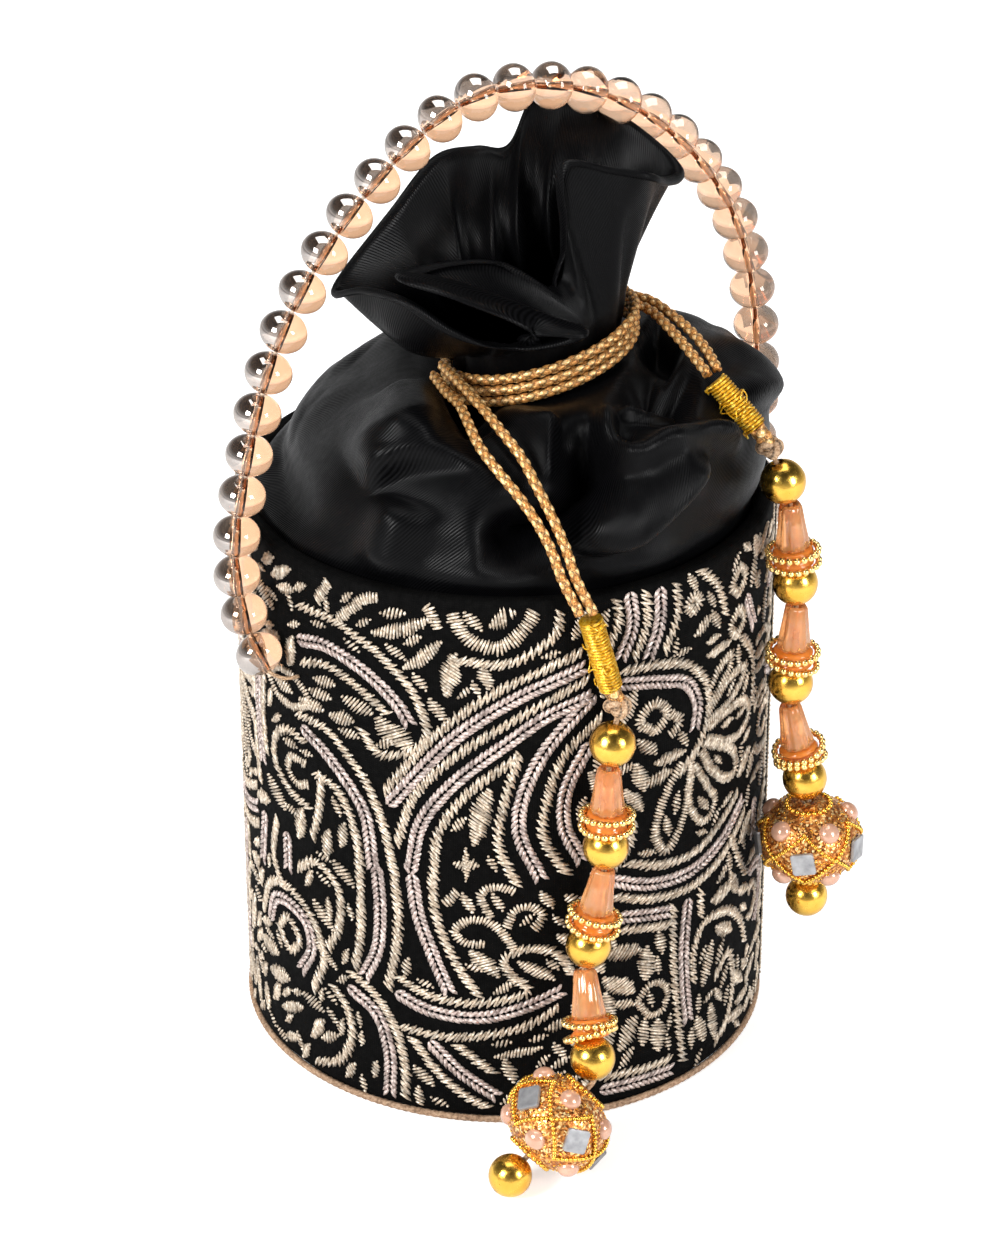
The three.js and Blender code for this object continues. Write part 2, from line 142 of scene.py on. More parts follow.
# A sheet of cells whose points go where place(u, v) says, with its own UV map
def gridMesh(name, columns, rows, place, capped=False):
    bm = bmesh.new()
    bm.loops.layers.uv.new("UVMap")
    bmesh.ops.create_grid(bm, x_segments=columns, y_segments=rows, size=0.5, calc_uvs=True)
    blank = toMesh("blank", bm)
    flat = np.empty(len(blank.vertices) * 3)
    blank.vertices.foreach_get("co", flat)
    u, v = flat.reshape(-1, 3)[:, :2].T + 0.5
    spots, relief = place(u, v)
    blank.vertices.foreach_set("co", (spots * mm).ravel())
    if relief is not None:
        blank.attributes.new("relief", "FLOAT", "POINT").data.foreach_set("value", relief)
    bm = bmesh.new()
    bm.from_mesh(blank)
    bpy.data.meshes.remove(blank)
    bmesh.ops.remove_doubles(bm, verts=bm.verts, dist=2e-7)
    if capped:
        bmesh.ops.holes_fill(bm, edges=[e for e in bm.edges if e.is_boundary], sides=0)
    bmesh.ops.recalc_face_normals(bm, faces=bm.faces)
    return toMesh(name, bm)


# Two directions square to the line and to each other, which turn along with it
def rings(line):
    heading = np.gradient(line, axis=0)
    heading /= np.linalg.norm(heading, axis=1)[:, None]
    side = np.cross(heading[0], (0.3, 0.2, 1))
    sides = []
    for ahead in heading:
        side = side - ahead * (side @ ahead)
        side = side / np.linalg.norm(side)
        sides.append(side)
    return np.array(sides), np.cross(heading, sides)


# A round cord along a line, in millimetres, with its strands raised by relief(u, along)
def tubeMesh(name, line, radius, around, relief=None, depth=0.0, closed=False):
    step = np.linalg.norm(np.diff(line, axis=0), axis=1)
    along = np.concatenate([[0], np.cumsum(step)])
    sides, others = rings(line)
    last = len(line) - 1

    def place(u, v):
        i = np.rint(v * last).astype(int)
        high = np.ones(len(u)) if relief is None else relief(u, along[i])
        r = (radius - depth * (1 - high % 1.0001))[:, None]
        angle = (2 * math.pi * u)[:, None]
        spots = line[i] + r * (np.cos(angle) * sides[i] + np.sin(angle) * others[i])
        return spots, None if relief is None else high

    return gridMesh(name, around, last, place, not closed)


# One mesh of a small shape laid at many places, each with its own shade if they are given
def copies(name, base, matrices, shades=None):
    count = len(base.vertices)
    corners = np.empty(count * 3)
    base.vertices.foreach_get("co", corners)
    loops = np.empty(len(base.loops), int)
    base.loops.foreach_get("vertex_index", loops)
    m = np.array(matrices, float).reshape(-1, 4, 4)
    spots = np.einsum("kij,nj->kni", m[:, :3, :3], corners.reshape(-1, 3)) + m[:, None, :3, 3]
    mesh = bpy.data.meshes.new(name)
    mesh.vertices.add(count * len(m))
    mesh.vertices.foreach_set("co", spots.ravel())
    mesh.loops.add(len(loops) * len(m))
    mesh.loops.foreach_set("vertex_index", (loops + count * np.arange(len(m))[:, None]).ravel())
    size = len(loops) // len(base.polygons)  # every face of the small shape has as many corners
    mesh.polygons.add(len(base.polygons) * len(m))
    mesh.polygons.foreach_set("loop_start", np.arange(len(base.polygons) * len(m)) * size)
    shadeMesh(mesh, True)
    if shades is not None:
        mesh.attributes.new("relief", "FLOAT", "POINT").data.foreach_set("value", np.repeat(shades, count))
    mesh.update(calc_edges=True)
    return mesh


def smallBall(detail=2):
    bm = bmesh.new()
    bmesh.ops.create_icosphere(bm, subdivisions=detail, radius=1)
    return toMesh("smallBall", bm)


# Materials
def sockets(shader, values):
    for name, value in values.items():
        isColor = isinstance(value, tuple) and len(value) == 3
        shader.inputs[name].default_value = (*value, 1) if isColor else value


def material(name, values):
    made = bpy.data.materials.new(name)
    made.use_nodes = True
    shader = made.node_tree.nodes["Principled BSDF"]
    sockets(shader, values)
    return made, made.node_tree, shader


def add(tree, kind, links=None, **settings):
    made = tree.nodes.new("ShaderNode" + kind)
    for name, value in settings.items():
        setattr(made, name, value)
    for name, value in (links or {}).items():
        if isinstance(value, bpy.types.NodeSocket):
            tree.links.new(value, made.inputs[name])
        else:
            made.inputs[name].default_value = value
    return made


def objectSpot(tree, scale=(1, 1, 1), turnBy=(0, 0, 0), source="Object"):
    spot = add(tree, "TexCoord").outputs[source]
    return add(tree, "Mapping", {"Vector": spot, "Scale": scale, "Rotation": turnBy}).outputs[0]


def noise(tree, spot, scale, detail=3.0):
    links = {"Vector": spot, "Scale": scale, "Detail": detail, "Roughness": 0.55}
    return add(tree, "TexNoise", links).outputs["Fac"]


def ramp(tree, value, *stops):
    made = add(tree, "ValToRGB", {"Fac": value})
    parts = made.color_ramp.elements
    while len(parts) < len(stops):
        parts.new(0.5)
    for part, (spot, color) in zip(parts, stops):
        part.position = spot
        part.color = (*color, 1) if isinstance(color, tuple) else (color, color, color, 1)
    return made.outputs["Color"]


def mix(tree, share, first, second, blend="MIX"):
    made = add(tree, "MixRGB", {"Fac": share}, blend_type=blend)
    for socket, value in ((made.inputs[1], first), (made.inputs[2], second)):
        tree.links.new(value, socket)
    return made.outputs[0]


def calc(tree, operation, first, second):
    return add(tree, "Math", {0: first, 1: second}, operation=operation).outputs[0]


def bump(tree, shader, height, distance, strength):
    made = add(tree, "Bump", {"Height": height, "Distance": distance, "Strength": strength})
    tree.links.new(made.outputs[0], shader.inputs["Normal"])


def bands(tree, spot, period, direction="X"):
    scale = 0.31416 / period  # a wave texture of scale 1 has a band every pi tenths
    return add(tree, "TexWave", {"Vector": spot, "Scale": scale}, bands_direction=direction).outputs["Fac"]


def surface(tree, shader, tone, rough):
    tree.links.new(tone, shader.inputs["Base Color"])
    tree.links.new(rough, shader.inputs["Roughness"])


# Tone, roughness and relief that wander: tone is (scale, dark, light), rough is (scale, two stops) and
# relief is (scale, depth, strength)
def speckledFinish(name, values, tone, rough, relief=None):
    made, tree, shader = material(name, values)
    spot = objectSpot(tree)
    scale, dark, light = tone
    roughScale, *stops = rough
    surface(tree, shader, ramp(tree, noise(tree, spot, scale), (0.3, dark), (0.7, light)),
            ramp(tree, noise(tree, spot, roughScale), *stops))
    if relief:
        bump(tree, shader, noise(tree, spot, relief[0]), *relief[1:])
    return made


def goldFinish(name, color, deep):
    return speckledFinish(name, {"Metallic": 1.0}, (260, deep, color), (900, (0.35, 0.18), (0.75, 0.32)),
                          (1400, 0.00004, 0.5))


def plainFinish(name, dark, light, scale, rough, depth, values=None):
    return speckledFinish(name, values or {}, (scale, dark, light), (scale, (0.3, rough), (0.7, rough - 0.1)),
                          (scale * 4, depth, 0.6))


def coatFinish(name, metallic, dark, light):
    return speckledFinish(name, {"Metallic": metallic, "Transmission Weight": 1.0, "IOR": 1.45},
                          (150, dark, light), (700, (0.4, 0.04), (0.8, 0.12)))


def clearFinish(name, dark, light, transmission, rough):
    return speckledFinish(name, {"Transmission Weight": transmission, "IOR": 1.5, "Coat Weight": 0.3},
                          (300, dark, light), (900, (0.4, rough), (0.8, rough + 0.1)))


def cordFinish():
    made, tree, shader = material("braidedCopperCord", {"Metallic": 0.5, "Specular IOR Level": 0.6})
    relief = add(tree, "Attribute", attribute_name="relief").outputs["Fac"]
    yarn = calc(tree, "GREATER_THAN", relief, 1.0)
    high = calc(tree, "FRACT", relief, 0.0)
    grain = noise(tree, objectSpot(tree), 2400)
    fleck = ramp(tree, grain, (0.3, (0.30, 0.10, 0.02)), (0.5, (0.58, 0.25, 0.06)), (0.7, (0.97, 0.60, 0.22)))
    pale = ramp(tree, grain, (0.3, (0.50, 0.24, 0.09)), (0.5, (0.88, 0.51, 0.18)), (0.7, (1.0, 0.86, 0.5)))
    # Painted shade: the colour darkens down to a tenth in the hollows between the braid's yarns
    shade = ramp(tree, high, (0.25, 0.1), (0.75, 1.0))
    surface(tree, shader, mix(tree, 1.0, mix(tree, yarn, fleck, pale), shade, "MULTIPLY"),
            ramp(tree, grain, (0.3, 0.6), (0.7, 0.28)))
    bump(tree, shader, grain, 0.0001, 0.7)
    return made


def threadFinish(name, dark, middle, light, metallic, grainScale, rough, reliefShadeAndTone=False):
    made, tree, shader = material(name, {"Metallic": metallic})
    spot = objectSpot(tree)
    grain = noise(tree, spot, grainScale, 2.0)
    fine = ramp(tree, grain, (0.28, dark), (0.5, middle), (0.72, light))
    wide = ramp(tree, noise(tree, spot, 160, 2.0), (0.3, 0.75), (0.7, 1.0))
    tone = mix(tree, 1.0, fine, wide, "MULTIPLY")
    if reliefShadeAndTone:  # painted shade between the turns and strands of wound and twisted cords, and a random tone for each embroidery stitch
        relief = add(tree, "Attribute", attribute_name="relief").outputs["Fac"]
        tone = mix(tree, 1.0, tone, ramp(tree, relief, (0.2, 0.2), (0.65, 1.0)), "MULTIPLY")
    surface(tree, shader, tone, ramp(tree, grain, (0.3, rough[0]), (0.7, rough[1])))
    bump(tree, shader, grain, 0.00012, 0.6)
    return made


def weaveFinish(name, dark, light, period, size, rough):
    made, tree, shader = material(name, {"Specular IOR Level": 0.05})
    spot = objectSpot(tree, (*size, 1), source="UV")
    cloth = calc(tree, "MULTIPLY", bands(tree, spot, period, "Y"), bands(tree, spot, period, "X"))
    fuzz = noise(tree, objectSpot(tree), 700)
    woven = ramp(tree, cloth, (0.1, dark), (0.8, light))
    tone = mix(tree, 0.5, woven, ramp(tree, fuzz, (0.3, dark), (0.7, light)))
    surface(tree, shader, tone, ramp(tree, fuzz, (0.3, rough), (0.7, rough - 0.12)))
    bump(tree, shader, cloth, 0.00012, 0.5)
    return made


def satinFinish(size):
    made, tree, shader = material("blackSatin", {
        "Sheen Weight": 0.002, "Sheen Roughness": 0.3, "Specular IOR Level": 0.08})
    twill = bands(tree, objectSpot(tree, (*size, 1), (0, 0, 38 * degrees), "UV"), 0.00055)
    slub = noise(tree, objectSpot(tree, (*size, 1), source="UV"), 420)
    tone = ramp(tree, twill, (0.25, (0.0004, 0.0004, 0.0005)), (0.75, (0.0026, 0.0026, 0.003)))
    surface(tree, shader, tone, ramp(tree, slub, (0.3, 0.40), (0.7, 0.30)))
    bump(tree, shader, calc(tree, "ADD", twill, calc(tree, "MULTIPLY", slub, 0.6)), 0.00007, 0.7)
    return made


def lacFinish():
    made, tree, shader = material("copperGlitter", {"Metallic": 0.75})
    spot = objectSpot(tree)
    cells = add(tree, "TexVoronoi", {"Vector": spot, "Scale": 2300.0})
    pick = add(tree, "SeparateColor", {"Color": cells.outputs["Color"]}).outputs
    tone = ramp(tree, pick[0], (0.0, (0.14, 0.035, 0.006)), (0.45, (0.52, 0.17, 0.035)),
                (0.78, (0.88, 0.42, 0.11)), (0.96, (1.0, 0.8, 0.4)))
    surface(tree, shader, tone, ramp(tree, pick[1], (0.2, 0.5), (0.9, 0.12)))
    bump(tree, shader, calc(tree, "ADD", pick[2], noise(tree, spot, 1100)), 0.0002, 0.9)
    return made


finishes = {
    "gold": goldFinish("goldPlating", (0.92, 0.58, 0.11), (0.78, 0.43, 0.06)),
    "ring": goldFinish("paleGold", (1.0, 0.76, 0.34), (0.9, 0.6, 0.2)),
    # the zari binding gets painted shade between its wound turns
    "zari": threadFinish("zariThread", (0.36, 0.14, 0.0), (0.84, 0.43, 0.01), (1.0, 0.80, 0.16),
                         0.6, 1500, (0.5, 0.25), True),
    "zariLoose": threadFinish("looseZariThread", (0.5, 0.22, 0.0), (0.88, 0.47, 0.01), (1.0, 0.82, 0.2),
                              0.6, 1500, (0.5, 0.25)),
    "cord": cordFinish(),
    "champagne": threadFinish("champagneThread", (0.28, 0.2, 0.13), (0.66, 0.54, 0.41), (0.97, 0.88, 0.75),
                              0.4, 1300, (0.5, 0.28), True),
    "lilac": threadFinish("lilacSilverThread", (0.22, 0.15, 0.13), (0.60, 0.48, 0.43), (0.95, 0.84, 0.78),
                          0.4, 1300, (0.5, 0.28), True),
    "ground": weaveFinish("blackGroundCloth", (0.0005, 0.0005, 0.0005), (0.003, 0.0028, 0.0026),
                          0.0005, (0.361, 0.13), 0.85),
    "cotton": plainFinish("plainBlackCloth", (0.004, 0.0035, 0.003), (0.012, 0.011, 0.01), 900, 0.9, 0.0001),
    "board": plainFinish("greyBoard", (0.3, 0.25, 0.19), (0.42, 0.36, 0.28), 220, 0.92, 0.0001),
    "piping": threadFinish("tanPiping", (0.16, 0.09, 0.05), (0.40, 0.25, 0.15), (0.6, 0.42, 0.28),
                           0.1, 1500, (0.85, 0.7)),
    # the knot cords get painted shade between their twisted strands
    "knot": threadFinish("tanKnotCord", (0.28, 0.15, 0.07), (0.52, 0.33, 0.19), (0.75, 0.55, 0.36),
                         0.15, 2600, (0.8, 0.6), True),
    "string": threadFinish("beadString", (0.40, 0.30, 0.21), (0.62, 0.50, 0.38), (0.8, 0.7, 0.56),
                           0.0, 2600, (0.8, 0.6)),
    "glass": speckledFinish("peachGlass", {
        "Transmission Weight": 1.0, "IOR": 1.45, "Specular IOR Level": 0.6},
                            (120, (0.76, 0.42, 0.24), (0.86, 0.54, 0.34)), (500, (0.4, 0.0), (0.8, 0.05))),
    "coat": coatFinish("darkMirrorCoat", 0.72, (0.48, 0.43, 0.40), (0.62, 0.58, 0.55)),
    "thinCoat": coatFinish("thinMirrorCoat", 0.18, (0.84, 0.58, 0.42), (0.92, 0.68, 0.52)),
    "cone": clearFinish("clearOrange", (0.90, 0.37, 0.12), (0.97, 0.52, 0.22), 0.66, 0.04),
    "spacer": clearFinish("deepOrange", (0.9, 0.24, 0.02), (0.98, 0.34, 0.06), 0.4, 0.05),
    "lac": lacFinish(),
    "pearl": plainFinish("pinkPearl", (0.52, 0.27, 0.17), (0.68, 0.40, 0.28), 300, 0.25, 0.00002,
                         {"Coat Weight": 0.9, "Coat Roughness": 0.08, "Metallic": 0.25}),
    "mirror": plainFinish("mirrorChip", (0.26, 0.26, 0.27), (0.46, 0.46, 0.47), 420, 0.42, 0.00001,
                          {"Metallic": 0.6}),
}
# The string glows with painted light, since the glass keeps the lamps' light off the string inside it
sockets(finishes["string"].node_tree.nodes["Principled BSDF"],
        {"Emission Color": (0.9, 0.8, 0.68), "Emission Strength": 0.3})


print("finishes made")


def bagPiece(name, mesh, slotName, finish):
    return addPiece(name, mesh, "bag", slotName, finishes[finish])


# Drawstring cords: the turns round the neck and two free strands to each tassel
drawstring = {
    "radius": 1.15,
    "braidCount": 3,
    "braidPitch": 2.7,
    "braidDepth": 0.42,
    "around": 20,
    "step": 0.3,
    "neckPoints": 1060,
    "neckRadius": 19.85,
    "neckShift": 7.4,
    "neckRise": 5.6,
    "neckHeight": 158.3,
    "turns": 2.54,
    "pitch": 2.5,
    "start": -160,
    "strands": {
        "front_strand_upper": [
            (-15.5, -0.5, 156.9), (-18.2, -12.4, 158.2), (-19.6, -23.5, 157.6), (-20.2, -32.8, 155.8),
            (-19.7, -39.4, 152.8), (-19.7, -45.3, 148.8), (-18.9, -49.6, 144), (-18, -53.6, 138.2),
            (-17.2, -56.7, 132), (-15.1, -59.9, 125.4)],
        "front_strand_lower": [
            (-17.9, -1.2, 155.4), (-20.4, -10.7, 156), (-21.9, -18.5, 156.7), (-23.8, -25, 156),
            (-25.2, -32.3, 153.6), (-24.7, -39.3, 150.5), (-23.3, -43.9, 147.2), (-21.9, -48.4, 143.2),
            (-20.6, -52, 138.2), (-19.8, -55.5, 132.2), (-17.7, -58.9, 125.4)],
        "side_strand_upper": [
            (29, -3, 163.6), (31.2, -7.4, 163.7), (32.2, -15.4, 162.7), (31.9, -23.2, 161.8),
            (30.8, -30.3, 160.8), (28.9, -36.8, 159.9)],
        "side_strand_lower": [
            (28.6, -8.1, 163.2), (29, -12, 163.2), (28.6, -16.5, 162.9), (27.6, -24.9, 162),
            (26.8, -31.4, 160.9), (26, -37.7, 159.7)],
    },
}


def braid(u, along):
    first = drawstring["braidCount"] * u + along / drawstring["braidPitch"]
    second = drawstring["braidCount"] * u - along / drawstring["braidPitch"]
    over = (np.floor(first) + np.floor(second)) % 2
    pillow = np.sqrt(np.abs(np.sin(math.pi * first) * np.sin(math.pi * second)))
    return over + 0.02 + 0.96 * np.clip(pillow, 0, 1)


def twist(u, along, count=3, pitch=2.2):
    return 0.02 + 0.96 * np.abs(np.sin(math.pi * (count * u + along / pitch)))


def cordMesh(name, line):
    return tubeMesh(name, line, drawstring["radius"], drawstring["around"], braid, drawstring["braidDepth"])


cords = {}
share = np.linspace(0, 1, drawstring["neckPoints"])
turnAngle = drawstring["start"] * degrees + share * drawstring["turns"] * 2 * math.pi
neckLine = (
    np.outer(drawstring["neckShift"] + drawstring["neckRadius"] * np.cos(turnAngle), lean)
    + np.outer(drawstring["neckRadius"] * np.sin(turnAngle), across)
    + np.outer(drawstring["neckHeight"] + drawstring["neckRise"] * np.cos(turnAngle)
               + (share - 0.5) * drawstring["turns"] * drawstring["pitch"], up))
neckTurns = bagPiece("neckTurns", cordMesh("neckTurns", neckLine), "copper_cord", "cord")
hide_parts("neck_cord")
for name, points in drawstring["strands"].items():
    line = smoothLine(points, drawstring["step"])
    first, *others = name.split("_")
    pieceName = first + "".join(word.capitalize() for word in others)
    strand = bagPiece(pieceName, cordMesh(pieceName, line), "copper_cord", "cord")
    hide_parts(name)
    cords[name] = (strand, line)
print("drawstring cords made")


# Studio: floor, world and soft lamps
studio = {
    "floorSize": 6.0,
    "lamps": {  # place, what it points at, width, height, watts
        "keySoftbox": ((-1.15, -0.25, 0.75), (0, 0, 0.1), 0.45, 0.45, 21.0),
        "rightSoftbox": ((0.45, -1.15, 0.6), (0, 0, 0.1), 0.4, 0.5, 13.0),
        "overheadSoftbox": ((0.1, 0.25, 1.3), (0, 0, 0), 0.9, 0.9, 9.0),
    },
}
floorMesh = bmesh.new()
bmesh.ops.create_grid(floorMesh, x_segments=1, y_segments=1, size=studio["floorSize"] / 2)
floor = bpy.data.objects.new("paleFloor", toMesh("paleFloor", floorMesh))
scene.collection.objects.link(floor)
floorPaint, tree, shader = material("paleFloor", {"Roughness": 0.9, "Specular IOR Level": 0.1,
                                                  "Emission Color": (1.0, 1.0, 1.0)})
tone = ramp(tree, noise(tree, objectSpot(tree), 3), (0.3, (0.86, 0.86, 0.86)), (0.7, (0.88, 0.88, 0.88)))
tree.links.new(tone, shader.inputs["Base Color"])
path = add(tree, "LightPath")
seen = calc(tree, "MAXIMUM", path.outputs["Is Camera Ray"], path.outputs["Is Transmission Ray"])
away = add(tree, "VectorMath", {0: objectSpot(tree)}, operation="LENGTH").outputs["Value"]
glow = ramp(tree, away, (0.4, 0.42), (0.95, 1.0))  # as white far from the lamps as near them
tree.links.new(calc(tree, "MULTIPLY", seen, glow), shader.inputs["Emission Strength"])
floor.data.materials.append(floorPaint)

world = bpy.data.worlds.new("softRoom")
scene.world = world
world.use_nodes = True
tree = world.node_tree
tree.nodes.clear()
path = add(tree, "LightPath")
height = add(tree, "SeparateXYZ", {"Vector": add(tree, "TexCoord").outputs["Generated"]}).outputs["Z"]
room = ramp(tree, height, (0.0, 0.85), (0.12, 0.42), (0.4, 0.09), (0.9, 0.04))
plain = add(tree, "Background", {"Color": (0.36, 0.36, 0.37, 1)}).outputs[0]
glossy = add(tree, "Background", {"Color": room}).outputs[0]
white = add(tree, "Background", {"Color": (1, 1, 1, 1)}).outputs[0]
through = add(tree, "Background", {"Color": ramp(tree, height, (0.3, 1.0), (0.75, 0.45))}).outputs[0]
first = add(tree, "MixShader", {0: path.outputs["Is Glossy Ray"], 1: plain, 2: glossy}).outputs[0]
second = add(tree, "MixShader", {0: path.outputs["Is Transmission Ray"], 1: first, 2: through}).outputs[0]
third = add(tree, "MixShader", {0: path.outputs["Is Camera Ray"], 1: second, 2: white}).outputs[0]
add(tree, "OutputWorld", {"Surface": third})
for name, (place, target, wide, high, watts) in studio["lamps"].items():
    lampData = bpy.data.lights.new(name, "AREA")
    lampData.shape = "RECTANGLE"
    lampData.size = wide
    lampData.size_y = high
    lampData.energy = watts
    lamp = bpy.data.objects.new(name, lampData)
    scene.collection.objects.link(lamp)
    aim = (Vector(target) - Vector(place)).to_track_quat("-Z", "Y")
    lamp.matrix_world = Matrix.Translation(place) @ aim.to_matrix().to_4x4()
print("studio set")


# Handle: bored glass beads, mirror coated on the half that faces out of the arch
handle = {
    "radius": 5.0,
    "halfLength": 4.35,
    "bore": 0.62,
    "steps": 32,
    "bands": 18,
    "stringRadius": 0.42,
    "stringStep": 0.4,
    "stringAround": 10,
    "stringGroove": 0.12,
    "stringFoot": 0.55,
    "anchorLean": (0.08, -0.8, -0.59),
    "anchorOut": (-0.75, 0.1, -0.65),
    "coatBack": 0.55,  # the coat also turns this much towards the back
    "coatFrom": (0.0, 1.3),  # the coat starts thin and is full further out
    "thinCoatFrom": (-0.5, 3.3),  # on the beads to the right of thinFrom
    "thinFrom": 12.0,
    "seatGap": 0.3,
    "bodyRadius": 57.5,
    "entryReach": 2.6,
    "entryDrop": 1.6,
    "loopReach": 3.0,
    "loopDip": 0.5,
}


def boredBall(radius, halfLength, bore, count):
    start = math.asin(bore / radius)
    angles = [start + i / count * (math.pi - 2 * start) for i in range(count + 1)]
    return [(radius * math.sin(a), -halfLength * math.cos(a)) for a in angles]


def anchored(key, side):
    return np.array(handle[key]) * (-side, 1, 1)


beadNames = sorted(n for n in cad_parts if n.startswith("handle_bead_"))
centres = [np.array((a + b) / 2) / mm for a, b in map(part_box, beadNames)]
middle = np.mean(centres, axis=0)
last = len(beadNames) - 1
for i, name in enumerate(beadNames):
    if i in (0, last):
        side = -1 if i == 0 else 1
        heading = anchored("anchorLean", side)
        outward = anchored("anchorOut", side)
    else:
        heading = centres[min(i + 1, last - 1)] - centres[max(i - 1, 1)]
        outward = centres[i] - middle
        outward = outward / np.linalg.norm(outward) + np.array((0, handle["coatBack"], 0))
    heading = heading / np.linalg.norm(heading)
    outward = outward - heading * (outward @ heading)
    profile = boredBall(handle["radius"], handle["halfLength"], handle["bore"], handle["bands"])
    bead = placed(spun(profile, handle["steps"]), facing(centres[i], heading))
    thinFrom, fullFrom = handle["coatFrom" if centres[i][0] < handle["thinFrom"] else "thinCoatFrom"]
    for face in bead.faces:
        far = (np.array(face.calc_center_median()) / mm - centres[i]) @ outward / np.linalg.norm(outward)
        face.material_index = 2 if far > fullFrom else 1 if far > thinFrom else 0
    pieceName = "glassBead" + name[-2:]
    piece = addPiece(pieceName, toMesh(pieceName, bead), "handle", "handle_glass",
                     finishes["glass"], finishes["thinCoat"], finishes["coat"])
    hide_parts(name)


def stringTail(side, centre):
    heading = anchored("anchorLean", side)
    heading /= np.linalg.norm(heading)
    out = centre + heading * handle["halfLength"]
    entryY, entryZ = out[1] - handle["entryReach"], out[2] - handle["entryDrop"]
    entryX = math.sqrt((handle["bodyRadius"] + handle["seatGap"]) ** 2 - entryY**2)
    loop = (side * (entryX + handle["loopReach"]), (out[1] + entryY) / 2 - handle["loopDip"], entryZ)
    foot = centre - heading * (handle["halfLength"] + handle["stringFoot"])
    return [foot, centre, out, np.array(loop), np.array((side * entryX, entryY, entryZ))]


stringPoints = stringTail(-1, centres[0])[::-1] + centres[1:-1] + stringTail(1, centres[-1])
stringMesh = tubeMesh("handleString", smoothLine(stringPoints, handle["stringStep"]), handle["stringRadius"],
                      handle["stringAround"], twist, handle["stringGroove"])
# Only the string inside the beads glows with painted light; its tails take the tan knot cord finish
tailTop = (centres[0][2] - 0.5 * handle["halfLength"]) * mm
for face in stringMesh.polygons:
    face.material_index = 1 if face.center.z < tailTop else 0
string = addPiece("handleString", stringMesh, "handle", "bead_string", finishes["string"], finishes["knot"])
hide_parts("handle_string")
print("handle made")


# Tassels
tassel = {
    "goldRadius": 4.8,
    "endRadius": 4.6,
    "bore": 1.1,
    "knotRadius": 3.2,
    "seatGap": 0.3,
    "coneLength": 10.4,
    "coneTop": 2.5,
    "coneFoot": 3.7,
    "flutes": 9,
    "ringRadius": 5.25,
    "ringBall": 0.8,
    "ringBalls": 21,
    "ringThickness": 1.3,
    "ringWobble": 0.13,
    "ringsAt": (0.65, 3.35),
    "spacerLength": 1.4,
    "spacerProfile": [
        (1.1, 0), (3.7, 0.1), (4.3, 0.65), (3.7, 1.25), (3.4, 1.6), (3.4, 2.4), (3.7, 2.75), (4.3, 3.35),
        (3.7, 3.9), (1.1, 4.0)],
    "beadSeat": 0.4,
    "lacHalfLength": 9.9,
    "bindingRadius": 2.45,
    "threadPitch": 0.72,
    "looseThreads": 11,
    "looseRadius": 0.16,
    "knotSize": 0.72,
    "knotCord": 1.15,
    "neckCord": 1.9,
    "strings": 0.6,
    "front": {
        "seed": 7,
        "binding": ((-15.4, -59.1, 123.9), (-11.2, -60.5, 107.8)),
        "knot": (-10.3, -62.2, 104),
        "aims": [(-12.1, -62.9, 96), (-13.7, -63.3, 71.6), (-17.2, -62.3, 47.3), (-20.9, -70.9, 24.9),
                 (-42.6, -72.5, 4.9), (-42.6, -72.5, 4.9)],
        "lacRoll": 0.0,
    },
    "side": {
        "seed": 11,
        "binding": ((27.4, -38.7, 158.2), (32.7, -46, 149.4)),
        "knot": (35, -48.3, 145.2),
        "aims": [(37.3, -49.8, 137.4), (40.2, -51.6, 113.1), (40, -51.5, 88.6), (43.6, -53.7, 64.5),
                 (44.6, -54.4, 49.5), (44.4, -54.2, 34.5)],
        "lacRoll": 0.3,
    },
}
dropLength = (tassel["coneLength"] + 2 * tassel["ringThickness"] + tassel["spacerLength"]
              + 2 * tassel["goldRadius"] - tassel["beadSeat"])


def tasselSpots(side):
    ends = [2 * tassel["lacHalfLength"], 2 * tassel["endRadius"]]
    lengths = [2 * tassel["goldRadius"]] + [dropLength] * 3 + ends
    here, before, spots = np.array(side["knot"], float), None, []
    for length, aim in zip(lengths, side["aims"]):
        heading = np.array(aim) - here
        heading /= np.linalg.norm(heading)
        turnRoom = tassel["knotRadius"] if before is None else tassel["goldRadius"] * (1 - before @ heading)
        top = here + heading * (turnRoom + tassel["seatGap"])
        here = top + heading * length
        before = heading
        spots.append((top, heading, length))
    return spots


def ballRing(place, heading, dice):
    wobble, ball, count = tassel["ringWobble"], tassel["ringBall"] * mm, tassel["ringBalls"]
    tilt = np.array([dice.uniform(-wobble, wobble) for _ in range(3)])
    turnTo = facing(place, np.array(heading) + tilt, dice.uniform(0, 6))
    out = Matrix.Translation((tassel["ringRadius"] * mm, 0, 0))
    return [turnTo @ Matrix.Rotation(2 * math.pi * i / count, 4, "Z") @ out @ Matrix.Scale(ball, 4)
            for i in range(count)]


def cone(top, heading):
    length, a, b = tassel["coneLength"], tassel["coneTop"], tassel["coneFoot"]
    profile = [(tassel["bore"], 0.3), (a * 0.8, 0), (a, 0.7), (a + (b - a) * 0.4, length * 0.45),
               (b, length - 0.9), (b * 0.88, length), (tassel["bore"], length)]
    bm = spun(profile, 4 * tassel["flutes"])
    for corner in bm.verts:
        turned = math.atan2(corner.co.y, corner.co.x)
        far = math.hypot(corner.co.x, corner.co.y) / mm
        if far > tassel["bore"] * 1.2:
            groove = 1 - 0.12 * (0.5 - 0.5 * math.cos(tassel["flutes"] * turned)) ** 2
            corner.co.x *= groove
            corner.co.y *= groove
    return placed(bm, facing(top, heading))


def joinedMesh(name, parts):
    whole = bmesh.new()
    for bm in parts:
        mesh = toMesh("part", bm)
        whole.from_mesh(mesh)
        bpy.data.meshes.remove(mesh)
    return toMesh(name, whole)


